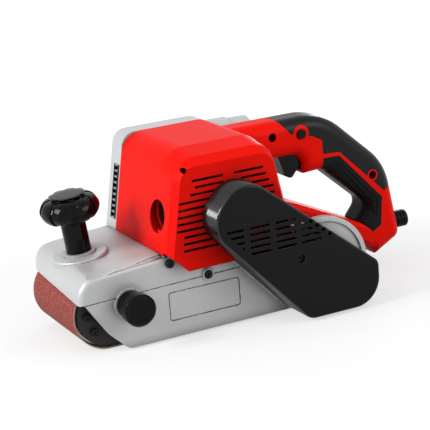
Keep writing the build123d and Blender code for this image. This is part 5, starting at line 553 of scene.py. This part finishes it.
# Black mouldings: the drive-belt cover, exhaust grille, fan, baffle, switch, cord clamp and brush caps, in
# black glass-filled nylon with a fine satin grain.
def black_plastic(name, colour, roughness, specular, grain, depth):
    """Black moulding with a satin or polished skin, its grain drawn coarser, and lighter, rubbed edges."""
    material, tree = blank(name)
    at = add_node(tree, "ShaderNodeTexCoord").outputs["Object"]
    scuff = add_node(tree, "ShaderNodeTexNoise", {"Vector": at, "Scale": per_mm(9.0), "Detail": 5.0})
    tone = add_node(tree, "ShaderNodeMapRange", {
        "Value": scuff.outputs["Fac"], "To Min": 0.9, "To Max": 1.12})
    skin = add_node(tree, "ShaderNodeMix", {SHARE: 1.0, FIRST: linear(colour), SECOND: tone.outputs[0]},
                    data_type="RGBA", blend_type="MULTIPLY")
    soft_normal = add_node(tree, "ShaderNodeBevel", {"Radius": 0.8 * MM}, samples=SOFT_SAMPLES).outputs[0]
    edge = edge_wear_and_highlight(tree, soft_normal, full_at=0.88)
    rub = add_node(tree, "ShaderNodeMath", {0: edge, 1: 0.35}, operation="MULTIPLY")
    body = add_node(tree, "ShaderNodeMix", {
        SHARE: rub.outputs[0], FIRST: skin.outputs[MIXED], SECOND: linear("#343436")}, data_type="RGBA")
    pattern = add_node(tree, "ShaderNodeTexNoise", {"Vector": at, "Scale": per_mm(grain), "Detail": 2.0})
    relief = add_node(tree, "ShaderNodeBump", {
        "Height": pattern.outputs["Fac"], "Normal": soft_normal, "Strength": depth, "Distance": 0.1 * MM})
    gloss = add_node(tree, "ShaderNodeMapRange", {
        "Value": scuff.outputs["Fac"], "To Min": roughness - 0.04, "To Max": roughness + 0.06})
    shader = add_node(tree, "ShaderNodeBsdfPrincipled", {
        "Base Color": body.outputs[MIXED], "Roughness": gloss.outputs[0], "Specular IOR Level": specular,
        "Normal": relief.outputs[0]})
    add_node(tree, "ShaderNodeOutputMaterial", {"Surface": shader.outputs[0]})
    return material


# Exhaust grille: the same black nylon, its rungs sprayed silver with the casting round it.
RUNG_MIDDLE, RUNG_HALF = -46.4, 2.8
sprayed, tree = blank("black_nylon_with_sprayed_rungs")
at = add_node(tree, "ShaderNodeTexCoord").outputs["Object"]
spot = add_node(tree, "ShaderNodeSeparateXYZ", {0: at})
rung = add_node(tree, "ShaderNodeMath", {0: spot.outputs["Y"], 1: RUNG_MIDDLE * MM, 2: RUNG_HALF * MM},
                operation="COMPARE")
colour = add_node(tree, "ShaderNodeMix", {
    SHARE: rung.outputs[0], FIRST: linear("#0e0e0f"), SECOND: linear("#8f9091")}, data_type="RGBA")
soft = add_node(tree, "ShaderNodeBevel", {"Radius": 0.3 * MM}, samples=SOFT_SAMPLES)
spray = add_node(tree, "ShaderNodeBsdfPrincipled", {
    "Base Color": colour.outputs[MIXED], "Roughness": 0.38, "Specular IOR Level": 0.2,
    "Normal": soft.outputs[0]})
add_node(tree, "ShaderNodeOutputMaterial", {"Surface": spray.outputs[0]})
dress(sprayed, "exhaust_grille")
# Drive-belt cover: its face has the dull grain of a spark-eroded mould, drawn coarser. Its walls are
# polished, so that it leaves the mould. Their normal leans outward, as on a wall with draft, and draws a
# bright band.
DRAFT = 0.42
FACE_FROM, WALL_FROM = 0.85, 0.5
cover_nylon, tree = blank("black_nylon_with_polished_walls")
at = add_node(tree, "ShaderNodeTexCoord").outputs["Object"]
surface = add_node(tree, "ShaderNodeNewGeometry")
facing = add_node(tree, "ShaderNodeSeparateXYZ", {0: surface.outputs["Normal"]})
wall = add_node(tree, "ShaderNodeMapRange", {
    "Value": facing.outputs["Y"], "From Min": FACE_FROM, "From Max": WALL_FROM})
lean = add_node(tree, "ShaderNodeMath", {0: wall.outputs[0], 1: DRAFT}, operation="MULTIPLY")
outward = add_node(tree, "ShaderNodeCombineXYZ", {1: lean.outputs[0]})
soft = add_node(tree, "ShaderNodeBevel", {"Radius": 0.6 * MM}, samples=SOFT_SAMPLES)
leaning = add_node(tree, "ShaderNodeVectorMath", {0: soft.outputs[0], 1: outward.outputs[0]},
                   operation="ADD")
true_length = add_node(tree, "ShaderNodeVectorMath", {0: leaning.outputs[0]}, operation="NORMALIZE")
grain = add_node(tree, "ShaderNodeTexNoise", {"Vector": at, "Scale": per_mm(0.6), "Detail": 2.0})
sparked = add_node(tree, "ShaderNodeBump", {
    "Height": grain.outputs["Fac"], "Normal": true_length.outputs[0], "Strength": 0.04,
    "Distance": 0.1 * MM})
gloss = add_node(tree, "ShaderNodeMapRange", {"Value": wall.outputs[0], "To Min": 0.34, "To Max": 0.2})
shine = add_node(tree, "ShaderNodeMapRange", {"Value": wall.outputs[0], "To Min": 0.12, "To Max": 0.5})
moulded = add_node(tree, "ShaderNodeBsdfPrincipled", {
    "Base Color": linear("#0c0c0d"), "Roughness": gloss.outputs[0], "Specular IOR Level": shine.outputs[0],
    "Normal": sparked.outputs[0]})
add_node(tree, "ShaderNodeOutputMaterial", {"Surface": moulded.outputs[0]})
dress(cover_nylon, "belt_cover")
# Satin nylon: black with a low sheen.
satin_nylon = black_plastic("satin_black_nylon", "#0c0c0d", roughness=0.26, specular=0.14, grain=0.6,
                            depth=0.04)
dress(satin_nylon, "cooling_fan", "fan_baffle", "switch_body", "cord_clamp", "brush_caps")


# Drive belt: neoprene moulded over cords, in a loop that grips the motor and roller pulleys under the cover.
# It is dull black with a faint grain. Its ribs face the pulleys, and only its plain back is drawn.
neoprene = rubbery("ribbed_neoprene", "#151516", roughness=0.6, grain=0.9, depth=0.3)
dress(neoprene, "drive_belt")


# Grip pads and cord gland: soft black rubber moulded on to the handle. The lower pads and the gland are plain
# satin; the upper pads, where the palm lies, are a softer rubber with a broad grey sheen.
firm_rubber = rubbery("overmoulded_rubber", "#0b0b0c", roughness=0.42, grain=0.8, depth=0.12, specular=0.1)
dress(firm_rubber, "grip_lower_left", "grip_lower_right", "cord_gland")
soft_rubber = rubbery("soft_touch_rubber", "#0e0e0f", roughness=0.34, grain=0.8, depth=0.10, specular=0.16)
dress(soft_rubber, "grip_upper_left", "grip_upper_right")


# Knobs and controls: the front knob is compression-moulded phenolic, polished; the tracking knob, trigger and
# lock button are glossy black ABS. The front knob's stud and the trigger's pin are ground steel.
phenolic = black_plastic("polished_black_phenolic", "#040405", roughness=0.08, specular=0.13, grain=2.5,
                         depth=0.02)
dress(phenolic, "front_knob")
gloss_abs = black_plastic("gloss_black_abs", "#050506", roughness=0.18, specular=0.12, grain=1.5, depth=0.03)
dress(gloss_abs, "tracking_knob", "trigger", "lock_button")
dress(ground_steel, "knob_stud", "trigger_pin")


# Screws and the pulley's nut: thread-forming and machine screws in blackened steel; those under the deck and
# the sanding plate's are plated with bright zinc.
# Black oxide: a thin blue-black film on bright steel, worn to metal on the head's edges.
black_oxide, tree = blank("black_oxide_steel")
at = add_node(tree, "ShaderNodeTexCoord").outputs["Object"]
film = add_node(tree, "ShaderNodeTexNoise", {"Vector": at, "Scale": per_mm(1.5), "Detail": 3.0})
soft_normal = add_node(tree, "ShaderNodeBevel", {"Radius": 0.25 * MM}, samples=SOFT_SAMPLES).outputs[0]
edge = edge_wear_and_highlight(tree, soft_normal, full_at=0.9)
rub = add_node(tree, "ShaderNodeMath", {0: edge, 1: film.outputs["Fac"]}, operation="MULTIPLY")
colour = add_node(tree, "ShaderNodeMix", {
    SHARE: rub.outputs[0], FIRST: linear("#1a1a1d"), SECOND: linear("#8b8c90")}, data_type="RGBA")
gloss = add_node(tree, "ShaderNodeMapRange", {"Value": film.outputs["Fac"], "To Min": 0.3, "To Max": 0.5})
oxide = add_node(tree, "ShaderNodeBsdfPrincipled", {
    "Base Color": colour.outputs[MIXED], "Metallic": 0.85, "Roughness": gloss.outputs[0],
    "Normal": soft_normal})
add_node(tree, "ShaderNodeOutputMaterial", {"Surface": oxide.outputs[0]})
dress(black_oxide, "housing_screws", "frame_screws", "end_housing_screws", "yoke_screws", "pulley_nut")
zinc = machined("bright_zinc", "#c4c8cc", roughness=0.25, line=1.0, stretch=EVEN)
dress(zinc, "platen_screws", "deck_screws")
